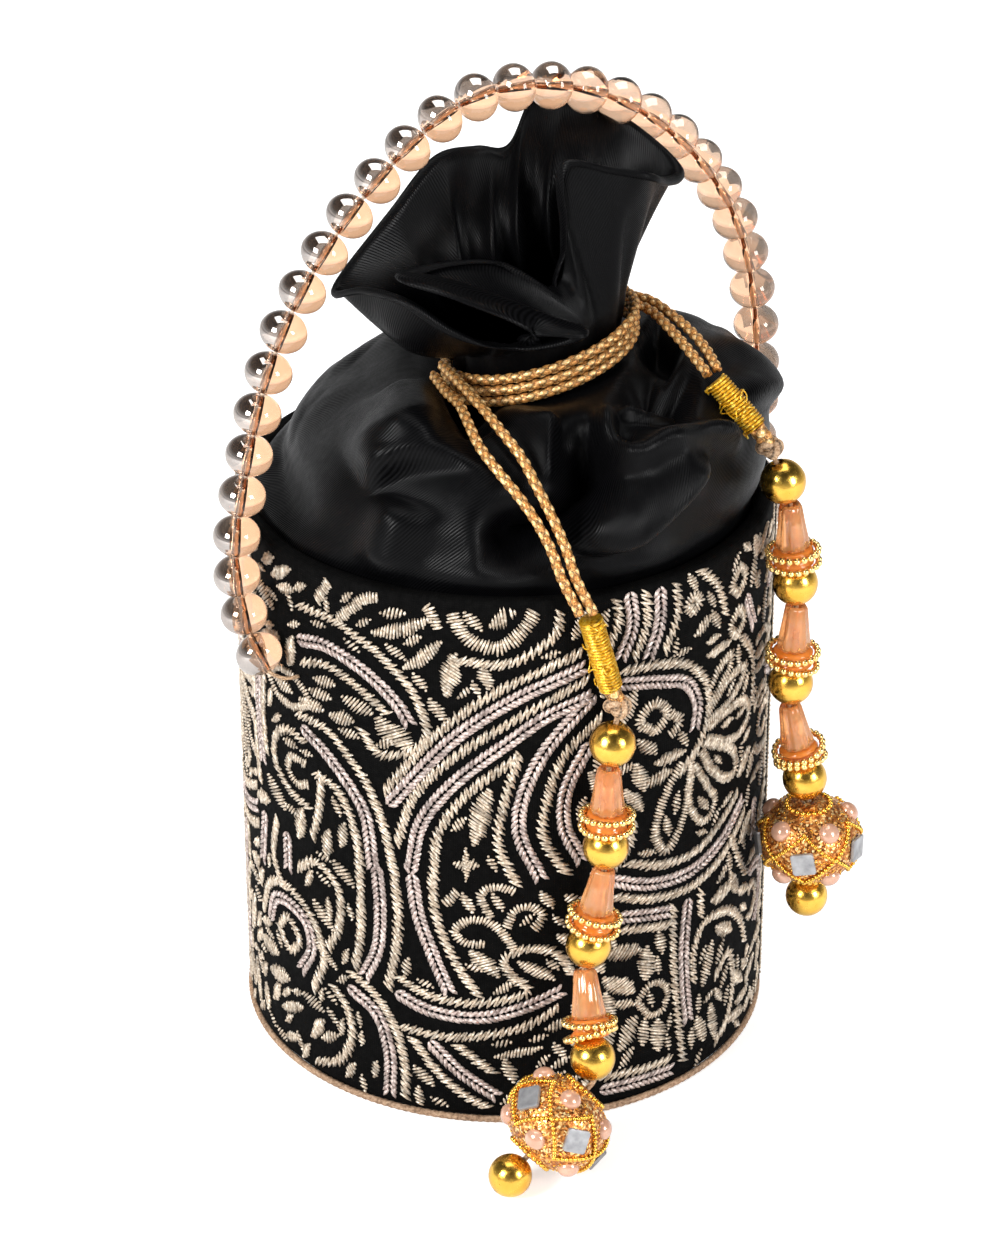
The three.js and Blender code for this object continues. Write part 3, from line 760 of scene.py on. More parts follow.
def ballBead(middle, heading, radius, seam):
    profile = boredBall(radius, radius, tassel["bore"], 20)
    if seam:  # the raised line that the bead's mould left
        profile = [(r + 0.07 * math.exp(-((z / 0.25) ** 2)), z) for r, z in profile]
    return placed(spun(profile, 40), facing(middle, heading))


# Lac ball: five mirrors in diamonds of gold beads, half pearls between them and gold grains all over
lac = {
    "radius": 11.1,
    "halfLength": 9.5,
    "mirrors": 5,
    "mirrorSize": (5.0, 5.0, 0.8),
    "mirrorBevel": 0.08,
    "diamond": (35 * degrees, 37 * degrees),
    "diamondBeads": 10,
    "diamondBead": (0.5, 0.5, 0.5),
    "pearlAt": 36 * degrees,
    "pearlSize": (2.3, 2.3, 1.8),
    "poleBeads": 24,
    "poleBead": 0.6,
    "poleAt": (0.43, 0.915),
    "grains": 420,
    "grainSize": (0.24, 0.24, 0.2),
}


def lacBall(key, middle, heading, roll, dice):
    radius, half = lac["radius"], lac["halfLength"]
    ball = placed(spun(boredBall(radius, half, tassel["bore"], 28), 56), facing(middle, heading))
    turnTo = facing(middle, heading, roll)

    def onSkin(longitude, latitude, lift, size, spin=0.0):
        far = (radius + lift) * math.cos(latitude)
        place = (far * math.cos(longitude), far * math.sin(longitude), (half + lift) * math.sin(latitude))
        normal = (place[0] / radius**2, place[1] / radius**2, place[2] / half**2)
        twirl, sized = Matrix.Rotation(spin, 4, "Z"), Matrix.Diagonal((*[s * mm for s in size], 1))
        return turnTo @ facing(place, normal) @ twirl @ sized

    beads, grains, pearls, mirrors = [], [], [], []
    halfWide, halfHigh = lac["diamond"]
    for k in range(lac["mirrors"]):
        centre = k * 72 * degrees
        corners = [(centre + halfWide, 0), (centre, halfHigh), (centre - halfWide, 0), (centre, -halfHigh)]
        for (a, b), (c, d) in zip(corners, corners[1:] + corners[:1]):
            for i in range(lac["diamondBeads"]):
                t = i / lac["diamondBeads"]
                beads.append(onSkin(a + (c - a) * t, b + (d - b) * t, 0.3, lac["diamondBead"]))
        mirrors.append(onSkin(centre, 0.0, 0.25, lac["mirrorSize"], 45 * degrees))
        for pole in (1, -1):
            pearls.append(onSkin(centre + lac["pearlAt"], pole * lac["pearlAt"], -0.2, lac["pearlSize"]))
    for pole in (1, -1):
        ring, high = radius * lac["poleAt"][0], pole * half * lac["poleAt"][1]
        for i in range(lac["poleBeads"]):
            turned = 2 * math.pi * i / lac["poleBeads"]
            spot = Matrix.Translation(Vector((ring * math.cos(turned), ring * math.sin(turned), high)) * mm)
            beads.append(turnTo @ spot @ Matrix.Scale(lac["poleBead"] * mm, 4))
    for _ in range(lac["grains"]):
        longitude, latitude = dice.uniform(0, 2 * math.pi), math.asin(dice.uniform(-0.93, 0.93))
        grains.append(onSkin(longitude, latitude, 0.05, lac["grainSize"]))
    plate = bmesh.new()
    bmesh.ops.create_cube(plate, size=1)
    bmesh.ops.bevel(plate, geom=plate.edges[:], offset=lac["mirrorBevel"], segments=1, profile=0.5,
                    affect="EDGES", material=-1)
    bmesh.ops.triangulate(plate, faces=plate.faces)  # copies() takes faces of one kind only
    mirrorMesh = copies(key + "Mirrors", toMesh("plate", plate), mirrors)
    shadeMesh(mirrorMesh, False)
    parts = (("LacBody", toMesh(key + "LacBody", ball), "glitter_lac", "lac"),
             ("LacChains", copies(key + "LacChains", smallBall(), beads), "glitter_lac", "gold"),
             ("LacGranules", copies(key + "LacGranules", smallBall(1), grains), "glitter_lac", "gold"),
             ("LacPearls", copies(key + "LacPearls", smallBall(4), pearls), "pink_pearl", "pearl"),
             ("LacMirrors", mirrorMesh, "mirror_chip", "mirror"))
    return [bagPiece(key + part, mesh, slotName, finish) for part, mesh, slotName, finish in parts]


def binding(name, side):
    top, foot = (np.array(p) for p in side["binding"])
    length = np.linalg.norm(foot - top)

    def wound(u, along):
        share = along / length
        pull = 0.82 + 0.18 * np.sin(math.pi * np.clip(share, 0.03, 0.97)) ** 0.35
        turns = share * (length / tassel["threadPitch"])
        return 0.02 + 0.96 * np.abs(np.sin(math.pi * (turns + u))) ** 0.7 * pull

    line = evenly(np.array([top, foot]), 0.11)
    return tubeMesh(name, line, tassel["bindingRadius"] + 0.15, 22, wound, 0.62)


# Short loops of gold thread that stand off the binding
def looseThreads(name, side, dice):
    top, foot = (np.array(p) for p in side["binding"])
    heading = (foot - top) / np.linalg.norm(foot - top)
    first = np.cross(heading, up)
    first /= np.linalg.norm(first)
    second = np.cross(heading, first)
    whole = []
    for _ in range(tassel["looseThreads"]):
        a = dice.uniform(0, 2 * math.pi)
        start = dice.choice([dice.uniform(0, 0.12), dice.uniform(0.1, 0.95)])
        points = []
        for k in range(5):
            b = a + k * dice.uniform(0.25, 0.5)
            far = tassel["bindingRadius"] + (0, 0.5, dice.uniform(0.5, 1.2), 0.4, 0)[k]
            along = start * np.linalg.norm(foot - top) + k * dice.uniform(-0.5, 0.7)
            points.append(top + heading * along + far * (first * math.cos(b) + second * math.sin(b)))
        bm = bmesh.new()
        thread = tubeMesh("thread", smoothLine(points, 0.4), tassel["looseRadius"], 5)
        bm.from_mesh(thread)
        bpy.data.meshes.remove(thread)
        whole.append(bm)
    return joinedMesh(name, whole)


def trefoil(place):
    t = np.linspace(0, 2 * math.pi, 121)
    x, y, z = np.sin(t) + 2 * np.sin(2 * t), np.cos(t) - 2 * np.cos(2 * t), -1.3 * np.sin(3 * t)
    return np.stack([x, y, z], axis=1) * tassel["knotSize"] + np.array(place)


for key in ("front", "side"):
    side = tassel[key]
    dice = random.Random(side["seed"])
    spots = tasselSpots(side)
    top, heading, length = spots[0]
    bead = ballBead(top + heading * length / 2, heading, tassel["goldRadius"], True)
    made = [bagPiece(key + "TopGold", toMesh("bead", bead), "gold_bead", "gold")]
    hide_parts(key + "_top_bead")
    for k in range(1, 4):
        top, heading, length = spots[k]
        foot = top + heading * tassel["coneLength"]
        piece = bagPiece(f"{key}Cone{k}", toMesh("cone", cone(top, heading)), "orange_bead", "cone")
        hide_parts(f"{key}_drop_{k}")
        made.append(piece)
        balls = [ball for at in tassel["ringsAt"] for ball in ballRing(foot + heading * at, heading, dice)]
        ringMesh = copies(f"{key}Rings{k}", smallBall(), balls)
        made.append(bagPiece(f"{key}Rings{k}", ringMesh, "gold_bead", "ring"))
        spacer = placed(spun(tassel["spacerProfile"], 32), facing(foot, heading))
        made.append(bagPiece(f"{key}Spacer{k}", toMesh("spacer", spacer), "orange_bead", "spacer"))
        bead = ballBead(top + heading * (length - tassel["goldRadius"]), heading, tassel["goldRadius"], False)
        made.append(bagPiece(f"{key}Gold{k}", toMesh("bead", bead), "gold_bead", "gold"))
    top, heading, length = spots[4]
    ballPieces = lacBall(key, top + heading * length / 2, heading, side["lacRoll"], dice)
    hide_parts(key + "_lac_ball")
    made += ballPieces
    top, heading, length = spots[5]
    bead = ballBead(top + heading * length / 2, heading, tassel["endRadius"], False)
    made.append(bagPiece(key + "EndGold", toMesh("bead", bead), "gold_bead", "gold"))
    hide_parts(key + "_end_bead")
    # The binding, its knot and the inner string
    wound = bagPiece(key + "Binding", binding(key + "Binding", side), "zari_thread", "zari")
    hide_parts(key + "_tassel_knot")
    threads = looseThreads(key + "LooseThreads", side, dice)
    loose = bagPiece(key + "LooseThreads", threads, "zari_thread", "zariLoose")
    knotMesh = tubeMesh(key + "Knot", trefoil(side["knot"]), tassel["knotCord"], 14, twist, 0.25, True)
    knot = bagPiece(key + "Knot", knotMesh, "copper_cord", "knot")
    foot = np.array(side["binding"][1])
    link = smoothLine([foot, (foot + np.array(side["knot"])) / 2, side["knot"]], 0.3)
    neckMesh = tubeMesh(key + "KnotNeck", link, tassel["neckCord"], 20, braid, 0.45)
    neck = bagPiece(key + "KnotNeck", neckMesh, "copper_cord", "cord")
    route = [side["knot"]] + [top + heading * length for top, heading, length in spots]
    stringLine = evenly(np.array(route, float), 1.0)
    stringMesh = tubeMesh(key + "TasselString", stringLine, tassel["strings"], 8, twist, 0.1)
    inner = bagPiece(key + "TasselString", stringMesh, "bead_string", "knot")
    strandPieces = {f"{key}_strand_upper": [wound, loose, knot, neck], f"{key}_strand_lower": []}
    for name, pieces in strandPieces.items():
        strand, line = cords[name]
print("tassels made")


# Stiff body
body = {
    "radius": 57.5,
    "pipingRadius": 0.8,
    "facing": -121 * degrees,  # the side of the cover that the camera sees in the middle
    "seamAround": 87.3,  # where the seam is, in the same measure as the embroidery
    "seamHalf": 2.0,
    "seamHeight": 0.6,
    "liningThickness": 0.8,
    "ripple": 0.12,
    "coverColumns": 480,
    "coverStep": 0.9,
    "coverProfile": [
        (56.5, 1.9), (57.4, 1.9), (57.5, 2.4), (57.5, 60), (57.5, 125.6), (57.35, 126.4), (56.8, 126.95),
        (56.1, 127.0), (54.6, 127.0), (54.0, 126.7), (53.9, 126.1)],
}


def clothTurned(name, node, profile):
    bm = spun(evenly(np.array(profile, float), 2.0), 96)
    for corner in bm.verts:
        turned = math.atan2(corner.co.y, corner.co.x)
        far = math.hypot(corner.co.x, corner.co.y) / mm
        ripple = body["ripple"] * (0.5 + 0.5 * math.sin(9 * turned + 140 * corner.co.z)) * min(far / 30, 1)
        if corner.co.z / mm > profile[0][1] + 3:
            corner.co.x *= 1 - ripple / far
            corner.co.y *= 1 - ripple / far
        elif far < profile[1][0] - 3:
            corner.co.z += ripple * mm
    piece = bagPiece(name, toMesh(name, bm), "black_cotton", "cotton")
    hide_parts(node)
    return piece


low, high = (np.array(corner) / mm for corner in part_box("lining"))
outside, foot, top, thick = high[0], low[2], high[2], body["liningThickness"]
liningCloth = clothTurned("liningCloth", "lining", [
    (0, foot), (outside, foot), (outside, top), (outside - thick, top), (outside - thick, foot + thick),
    (0, foot + thick)])
low, high = (np.array(corner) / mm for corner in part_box("bottom_cover"))
undersideCloth = clothTurned("undersideCloth", "bottom_cover", [
    (0, 0), (high[0], 0), (high[0], high[2]), (0, high[2])])
for name in ("base_board", "wall_board"):
    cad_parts[name].material_slots[0].material = finishes["board"]
coverLine = evenly(np.array(body["coverProfile"]), body["coverStep"])


def coverSpot(u, v):
    i = np.rint(v * (len(coverLine) - 1)).astype(int)
    r, z = coverLine[i].T
    angle = 2 * math.pi * u
    wave = 0.12 * np.sin(5 * angle + 1) * np.clip((z - 90) / 37, 0, 1)
    off = (angle - body["facing"] + math.pi) % (2 * math.pi) - math.pi
    fold = np.clip((body["seamHalf"] + 0.5 - np.abs(off * body["radius"] - body["seamAround"])) / 0.5, 0, 1)
    r = r + body["seamHeight"] * fold * np.clip((126 - z) / 1.5, 0, 1)
    return np.stack([r * np.cos(angle), r * np.sin(angle), z + wave], axis=1), None


coverMesh = gridMesh("coverCloth", body["coverColumns"], len(coverLine) - 1, coverSpot)
cover = bagPiece("coverCloth", coverMesh, "zari_embroidery", "ground")
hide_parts("embroidered_cover")

angle = np.linspace(0, 2 * math.pi, 721)
pipingLine = np.stack([body["radius"] * np.cos(angle), body["radius"] * np.sin(angle),
                       body["pipingRadius"] + 0 * angle], axis=1)
pipingMesh = tubeMesh("pipingCord", pipingLine, body["pipingRadius"], 10,
                      lambda u, s: twist(u, s, 2, 1.66), 0.2, True)
piping = bagPiece("pipingCord", pipingMesh, "tan_piping", "piping")
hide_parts("bottom_piping")
print("body made")


# Embroidery, drawn on the unrolled cover: distance round it from the side that faces the camera, and height
embroidery = {
    "ropeStep": 0.82,
    "ropeHalf": 1.85,
    "ropeSlant": 50,
    "chainStep": 1.3,
    "chainOff": 0.86,
    "chainHalf": 1.42,
    "fillStep": 0.74,
    "seamStep": 1.2,
    "seamRow": 1.15,
    "thread": 0.34,
    "leaves": 2400,
    "window": 68.0,
    "backWindow": 56.3,
    "seed": 5,
    "rope": """
        -25.6,80 -13.8,96 -2.5,106 8.8,111.8 15.6,114.6 | -23,68 -18.8,80.5 -10,91 0,98.6 8.8,104 16.9,108
        -15,60.5 -13.8,72 -7.5,82.4 2.5,91 | 3,91.8 0,80.5 -1.3,70.5 2.5,60.5
        20,98.6 12.5,91 8.8,80.5 8.1,71.8 13,62.4 | -32.2,60 -31.9,50 -32.5,40 -33.8,33.8
        -23.8,60 -23,50 -23.8,40 -25.6,31.3 | -15.3,60 -14.4,51 -10.6,41 -5.6,32.5
        -23,34.4 -16.3,31.3 -5.6,30.6 5,33.8 1.3,38 0,42 5.6,44.4 11.3,42.5 14.4,37
        -22.5,21.9 -13,21.3 -3.8,22.5 5,25 11.3,28.8 | -35,31.9 -29.4,28.8 -24.4,21.9 -21.9,11.9 -21.9,3.8
        -20,19.4 -14.4,11.9 -8,6.3 -3.8,4 | -10,19.4 -2.5,13
        -9.4,113.6 0,113 5.6,115.5 10.6,120 11.3,126
        -47.5,116.8 -38,116.8 -30,114 -27,112.4 -20,106 -17,100 -16.3,94.3 -20,90.5 -27,88.6 -31,93
        -46.9,103.6 -39.4,105.5 -30.6,102.4 -25,98.6
        -48.8,90.5 -40,90 -33.8,85 -30,80.5 -26.3,71.8 -23.8,60.5 | -43.8,78 -38,76.8 -33.8,70 -31.9,60.5
        -41.9,78 -43,69 -45,62 | -46.9,84.3 -52.5,85 -57.5,81 -58,75 -53,70.5 -46,68.6
        -40,26.3 -36.3,22.5 -35,15 -38.8,7.5 -46.3,3.8 | 23,126 23.8,120.5 21.3,114
        30,125.5 30.3,118 27.5,111 | 37.5,126 38,118 35,110.5
        25,108.6 33.8,107.7 41.3,105 46.9,98.6 48,91 45,84.3 40,80 | 44.4,126 50,120 53,112.4
        26.9,61.9 35.6,58.8 45,58.4 52.5,61.3 60,65.6 | 23.8,54.4 32.5,51.3 43.8,50 53.8,52.5 63.8,58.8
        25.6,45.6 37.5,43 | 38.7,47 39,36.2 39.8,26 41.2,15.4 42.7,5.7 | 47,47.4 47.3,41
        45.4,25 45.2,33 48.5,38.6 57.2,37.4 64,31 67,24 | 53.2,22.6 58,26.1 61,18 58.7,8.4 54,4.9
        22,9 30.3,8.2 38.6,7.8 | -62,94 -63,84 -62,75 | -67.5,94 -68,80 -66,66 | -58,60 -60,50 -56,44
        -58.4,33 -54.4,37 -50.4,33 -54.4,29 -58.4,33 | -66.4,33 -62,42 -54.4,45 -46.8,42 -42.4,33 -46,23
        -50,52 -44,56 -38,52 -38,42 -41,36 | 58,56 62,48 66,42 | 60,104 66,96 67,84 | 15,20 18,12 17,4
        28,72 27,66 24,62""",
    "chain": """
        -24.4,77.4 -10,95.5 2.5,105 16.3,111 | -20,62 -17.5,74 -10,85 0,94 8.8,100.5 17.5,104
        18,103.6 8.8,93 3.8,81.8 3.1,73 7.5,61.8 | 17.5,92.4 13,83 12.5,74 16.3,65
        -27.8,60 -27.2,50 -28.1,40 -31.3,32.5 | -19.7,60 -18.4,51 -15.6,42.5 -11.9,33
        -23,30 -16.3,27.5 -5.6,26.9 3.8,29.4 11.9,33 | -35,27.5 -28.8,23.8 -25.6,15 -25.6,3.8
        -15.6,18.8 -10,13 -1.9,6.9 | -47.5,108.6 -40,110 -30.6,107.4 -23,101.8 -20,97.4
        -46.9,87.4 -40.6,84.3 -33.8,78 -30.6,73 -28.8,60.5 | 26.3,125.5 26.9,118.6 24.4,111.8
        33.4,126 33.4,117.4 31,110.5 | 25,105.5 33.8,103.6 41.3,100.5 44.4,94.3 43.8,89.3
        22.5,58.8 32.5,55 43.8,54 53.8,56.9 62.5,62.5 | 25.6,48.8 37.5,46.3
        43,46.3 42.2,36.5 42.6,26.3 44,15.8 | 22,5.6 39,4.8
        -62.4,33 -60,39 -54.4,41 -48,39 -46.4,33 -50,26 | -65,94 -65.5,82 -64,72 | -64,58 -66,46
        -54,58 -54,50 | 62,112 66,104""",
    "fill": """
        6;leaf;-3.1,83.3 -5,77 -6.5,70 | 3;band;-12.5,55 -10,58 | 2.4;band;-3,52.5 -5,58 -1.9,60 1.9,58.8
        2.6;band;0.6,50 1.9,53.8 5,55 8,52.5 6.3,49.4
        2.6;band;1.9,44.4 0,48 -3.8,51.3 -8,51.3 -10.6,48 -8,45.6 -4.4,45.6 | 5;leaf;-6.9,43.8 -1.3,37.5
        4;leaf;3,41.3 10.6,36.3 | 4;leaf;-10.5,65 -5.5,65 | 2;leaf;-8,69 -8,61
        4.5;leaf;-28,116.8 -21,119 -15,122.4 | 4;leaf;-21,110.2 -17,113 -13,117.4
        5.5;leaf;-12.2,105.2 -10,115 | 4;leaf;-3.4,107.4 -4.4,112.4
        4;band;-10.6,124 -7.5,118.6 -1.3,116.8 3.8,121 6.3,125.5 | 8;leaf;-27,97 -20,91
        3.2;band;-41.9,120 -38.8,125 | 3;band;-36.3,117.4 -32,121.8 -29.4,124.3 -16.3,125.2 -13.8,120.5
        5;leaf;-48,94.3 -41,94.3 | 5;leaf;-39,94.3 -33,94.3
        2.4;band;-60,95 -56,98.5 -49,98.5 -45,95 -49,91.8 -56,91.8 -60,95
        2.6;band;-46.9,79 -51.3,79 -53,76 -50,73 -46.3,74.3 | 3;band;33,92 36,95.5 32.5,99 29,95.5 33,92
        4;leaf;33,84.5 41,84.5 | 3.5;leaf;47,105 55,105 | 3;band;36.9,90 39.5,92.4 36.9,95
        3;band;40,82 36,76 33.4,67 36.3,61.8 40,66 42.5,74 43,81
        2.6;band;43,80 42.2,73 45,66.5 48,64.6 51,68 47,75 44,80
        3;band;46,82.5 50,76 55,72 58.8,71.8 58,77 52,81.5 47,84
        3;band;47.5,85 55,81 61,80.5 65,83 62,87.5 55,88.5 48,87.5
        3;band;48,89 55,90.5 60,93 62.5,95.5 57,96.5 52,94.5 48,91
        3;band;47.5,92 52,96 55.5,99 55.6,101.8 51,100 47.5,96 | 3;band;58,105 61,108 58,111 55,108 58,105
        3;band;58,115 61,118 58,121 55,118 58,115 | 3;band;42.5,117 44.5,119 42.5,121 40.5,119 42.5,117
        6.5;leaf;31.8,31.3 31.8,39.5 | 6;leaf;28.6,29 21.6,34.5 | 6;leaf;29.5,22.3 25.5,15
        6;leaf;35.2,19.6 35.3,11.5
        2.2;band;29.8,26.2 32.6,29.4 36.2,28.6 37.6,24.6 35.8,21.2 32.4,22 29.8,26.2
        5.5;leaf;48.4,22.5 51.6,32.5 | 4.5;leaf;51.5,16 53.5,6 | 3;leaf;-2,17 8,19 | 3;leaf;4,10 13,12
        3.4;leaf;-45,36 -39,31 | 4;leaf;-43,16 -47,10 | 4;leaf;-50,16 -58,12 | 4;leaf;60,20 66,14
        4;leaf;59,8 67,6 | 5;leaf;18,86 24,76 | 4;leaf;26,80 30,74 | 4;leaf;22,72 18,66
        5;leaf;-57,112 -66,116 | 4;leaf;-57,120 -50,124 | 5;leaf;-55,106 -63,103 | 4;leaf;14,52 20,46
        4;leaf;18,30 20,24 | 5;leaf;2,125 -3,122 | 4;leaf;17,124 14,118 | 5;leaf;60,70 66,74""",
}


# Stitches lying on the cover: their middles, slants and half sizes, in millimetres and degrees
def onCloth(around, high, tilt, halfLong, halfWide, thick, lift):
    azimuth = body["facing"] + around / body["radius"]
    out = np.stack([np.cos(azimuth), np.sin(azimuth), 0 * azimuth], axis=1)
    sideways = np.stack([-np.sin(azimuth), np.cos(azimuth), 0 * azimuth], axis=1)
    c, s = np.cos(tilt)[:, None], np.sin(tilt)[:, None]
    frames = np.zeros((len(around), 4, 4))
    frames[:, :3, 0] = (sideways * c + up * s) * halfLong[:, None]
    frames[:, :3, 1] = (up * c - sideways * s) * halfWide[:, None]
    frames[:, :3, 2] = out * thick[:, None]
    frames[:, :3, 3] = out * (body["radius"] + lift)[:, None]
    frames[:, 2, 3] += high
    frames[:, :3] *= mm
    frames[:, 3, 3] = 1
    return frames


def strokes(text):
    for entry in " | ".join(text.strip().splitlines()).split("|"):
        head, _, tail = entry.strip().rpartition(";")
        spots = [tuple(map(float, pair.split(","))) for pair in tail.split()]
        if len(spots) > 1:
            yield head.split(";") if head else None, spots


def stitchedLine(spots, step):
    line = smoothLine([(a, b, 0) for a, b in spots], step)
    ahead = np.gradient(line, axis=0)
    return line[:, :2], np.arctan2(ahead[:, 1], ahead[:, 0])


# How wide a leaf is along its length, as a share of its full width
def bulge(t):
    return math.sin(math.pi * (0.06 + 0.9 * t)) ** 0.7


def fillStitch(a, b, turned, slant, half, dice):
    tilt = turned + (slant + dice.uniform(-4, 4)) * degrees
    return a, b, tilt, half * dice.uniform(0.86, 1.16), embroidery["thread"], 0.4, 0.06 + 0.08 * dice.random()


def stitches(kind, dice):
    rows = []  # around, high, tilt, half length, half width, thickness, lift
    for head, spots in strokes(embroidery[kind]):
        line, angle = stitchedLine(spots, embroidery[kind + "Step"])
        for i, ((a, b), turned) in enumerate(zip(line, angle)):
            c, s = math.cos(turned), math.sin(turned)
            if kind == "rope":
                slant = embroidery["ropeSlant"] + dice.uniform(-7, 7) + (8 if i % 2 else -8)
                push = dice.uniform(-0.06, 0.06)
                half = embroidery["ropeHalf"] * dice.uniform(0.84, 1.14)
                rows.append((a - push * c, b - push * s, turned + slant * degrees, half,
                             embroidery["thread"], 0.42, 0.05 + 0.1 * dice.random()))
            elif kind == "chain":
                for hand in (1, -1):
                    off = embroidery["chainOff"] * hand
                    tilt = turned + hand * (34 + dice.uniform(-6, 6)) * degrees
                    half = embroidery["chainHalf"] * dice.uniform(0.92, 1.08)
                    rows.append((a - off * s, b + off * c, tilt, half,
                                 0.52, 0.42, 0.04 + 0.08 * dice.random()))
            else:
                isLeaf = head[1] == "leaf"
                half = float(head[0]) / 2 * (bulge(i / max(len(line) - 1, 1)) if isLeaf else 1.0)
                slip = dice.uniform(-0.18, 0.18)
                rows.append(fillStitch(a - slip * s, b + slip * c, turned, 68 if isLeaf else 80, half, dice))
    return np.array(rows)


# A small leaf of stitches for a bare place in the pattern
def leafStitches(a, b, turned, long, wide, dice):
    count = max(3, round(long / embroidery["fillStep"]))
    rows = []
    for i in range(count):
        t = i / (count - 1)
        run = (t - 0.5) * long
        rows.append(fillStitch(a + run * math.cos(turned), b + run * math.sin(turned), turned, 68,
                               wide / 2 * bulge(t), dice))
    return rows


# Small leaves where the drawn pattern leaves the ground bare
def bareLeaves(taken, dice):
    rows, spots, wide = [], [taken[:, :2]], embroidery["window"]
    tries = [(dice.uniform(-wide, wide), dice.uniform(4, 125)) for _ in range(embroidery["leaves"])]
    for a, b in tries:
        far = np.linalg.norm(np.vstack(spots) - (a, b), axis=1)
        room = min(far.min() - 1.0, b - 2.5, 126.2 - b)
        if room < 1.45:
            continue
        room = min(room, 3.6)
        near = spots[0][np.argmin(np.linalg.norm(spots[0] - (a, b), axis=1))]
        turned = math.atan2(near[1] - b, near[0] - a) + math.pi / 2 + dice.uniform(-0.3, 0.3)
        leaf = leafStitches(a, b, turned, 2.4 * room, 1.6 * room, dice)
        rows += leaf
        spots.append(np.array(leaf)[:, :2])
    return np.array(rows)


# Two rows of small slanted stitches that hold the seam down
def seamStitches(dice):
    rows = []
    for side in (-1, 1):
        around = body["seamAround"] + side * embroidery["seamRow"]
        for high in np.arange(3.5, 124, embroidery["seamStep"]):
            tilt = (90 - 35 * side + dice.uniform(-8, 8)) * degrees
            half = 0.85 * dice.uniform(0.85, 1.1)
            rows.append((around, high, tilt, half, 0.3, 0.35, body["seamHeight"] + 0.05))
    return np.array(rows)


stitchShape = smallBall(1)
seed = embroidery["seed"]
drawn = {kind: stitches(kind, random.Random(seed)) for kind in ("rope", "chain", "fill")}
leaves = bareLeaves(np.vstack(list(drawn.values())), random.Random(seed + 1))
drawn["fill"] = np.vstack([drawn["fill"], leaves])
aside = np.array([embroidery["window"] + embroidery["backWindow"], 0, 0, 0, 0, 0, 0])
for kind, finish in (("rope", "champagne"), ("chain", "lilac"), ("fill", "champagne")):
    rows = drawn[kind]
    reach = np.abs(rows[:, 3] * np.sin(rows[:, 2]))
    rows = rows[(rows[:, 1] + reach < 126.6) & (rows[:, 1] - reach > 2.0)]
    front = rows[np.abs(rows[:, 0]) < embroidery["window"]]
    back = rows[np.abs(rows[:, 0]) < embroidery["backWindow"]]
    back = np.vstack([back + aside, back - aside])
    back = back[np.abs(back[:, 0] - body["seamAround"]) > body["seamHalf"] + 0.8]
    if kind == "fill":
        back = np.vstack([back, seamStitches(random.Random(seed + 2))])
    for place, some in (("Front", front), ("Back", back)):
        name = kind + "Stitches" + place
        shades = np.random.default_rng(seed).uniform(0.42, 1.0, len(some))
        mesh = copies(name, stitchShape, onCloth(*some.T), shades)
        bagPiece(name, mesh, "zari_embroidery", finish)
        print(name, len(some), "stitches", len(mesh.polygons), "faces")
print("embroidery made")


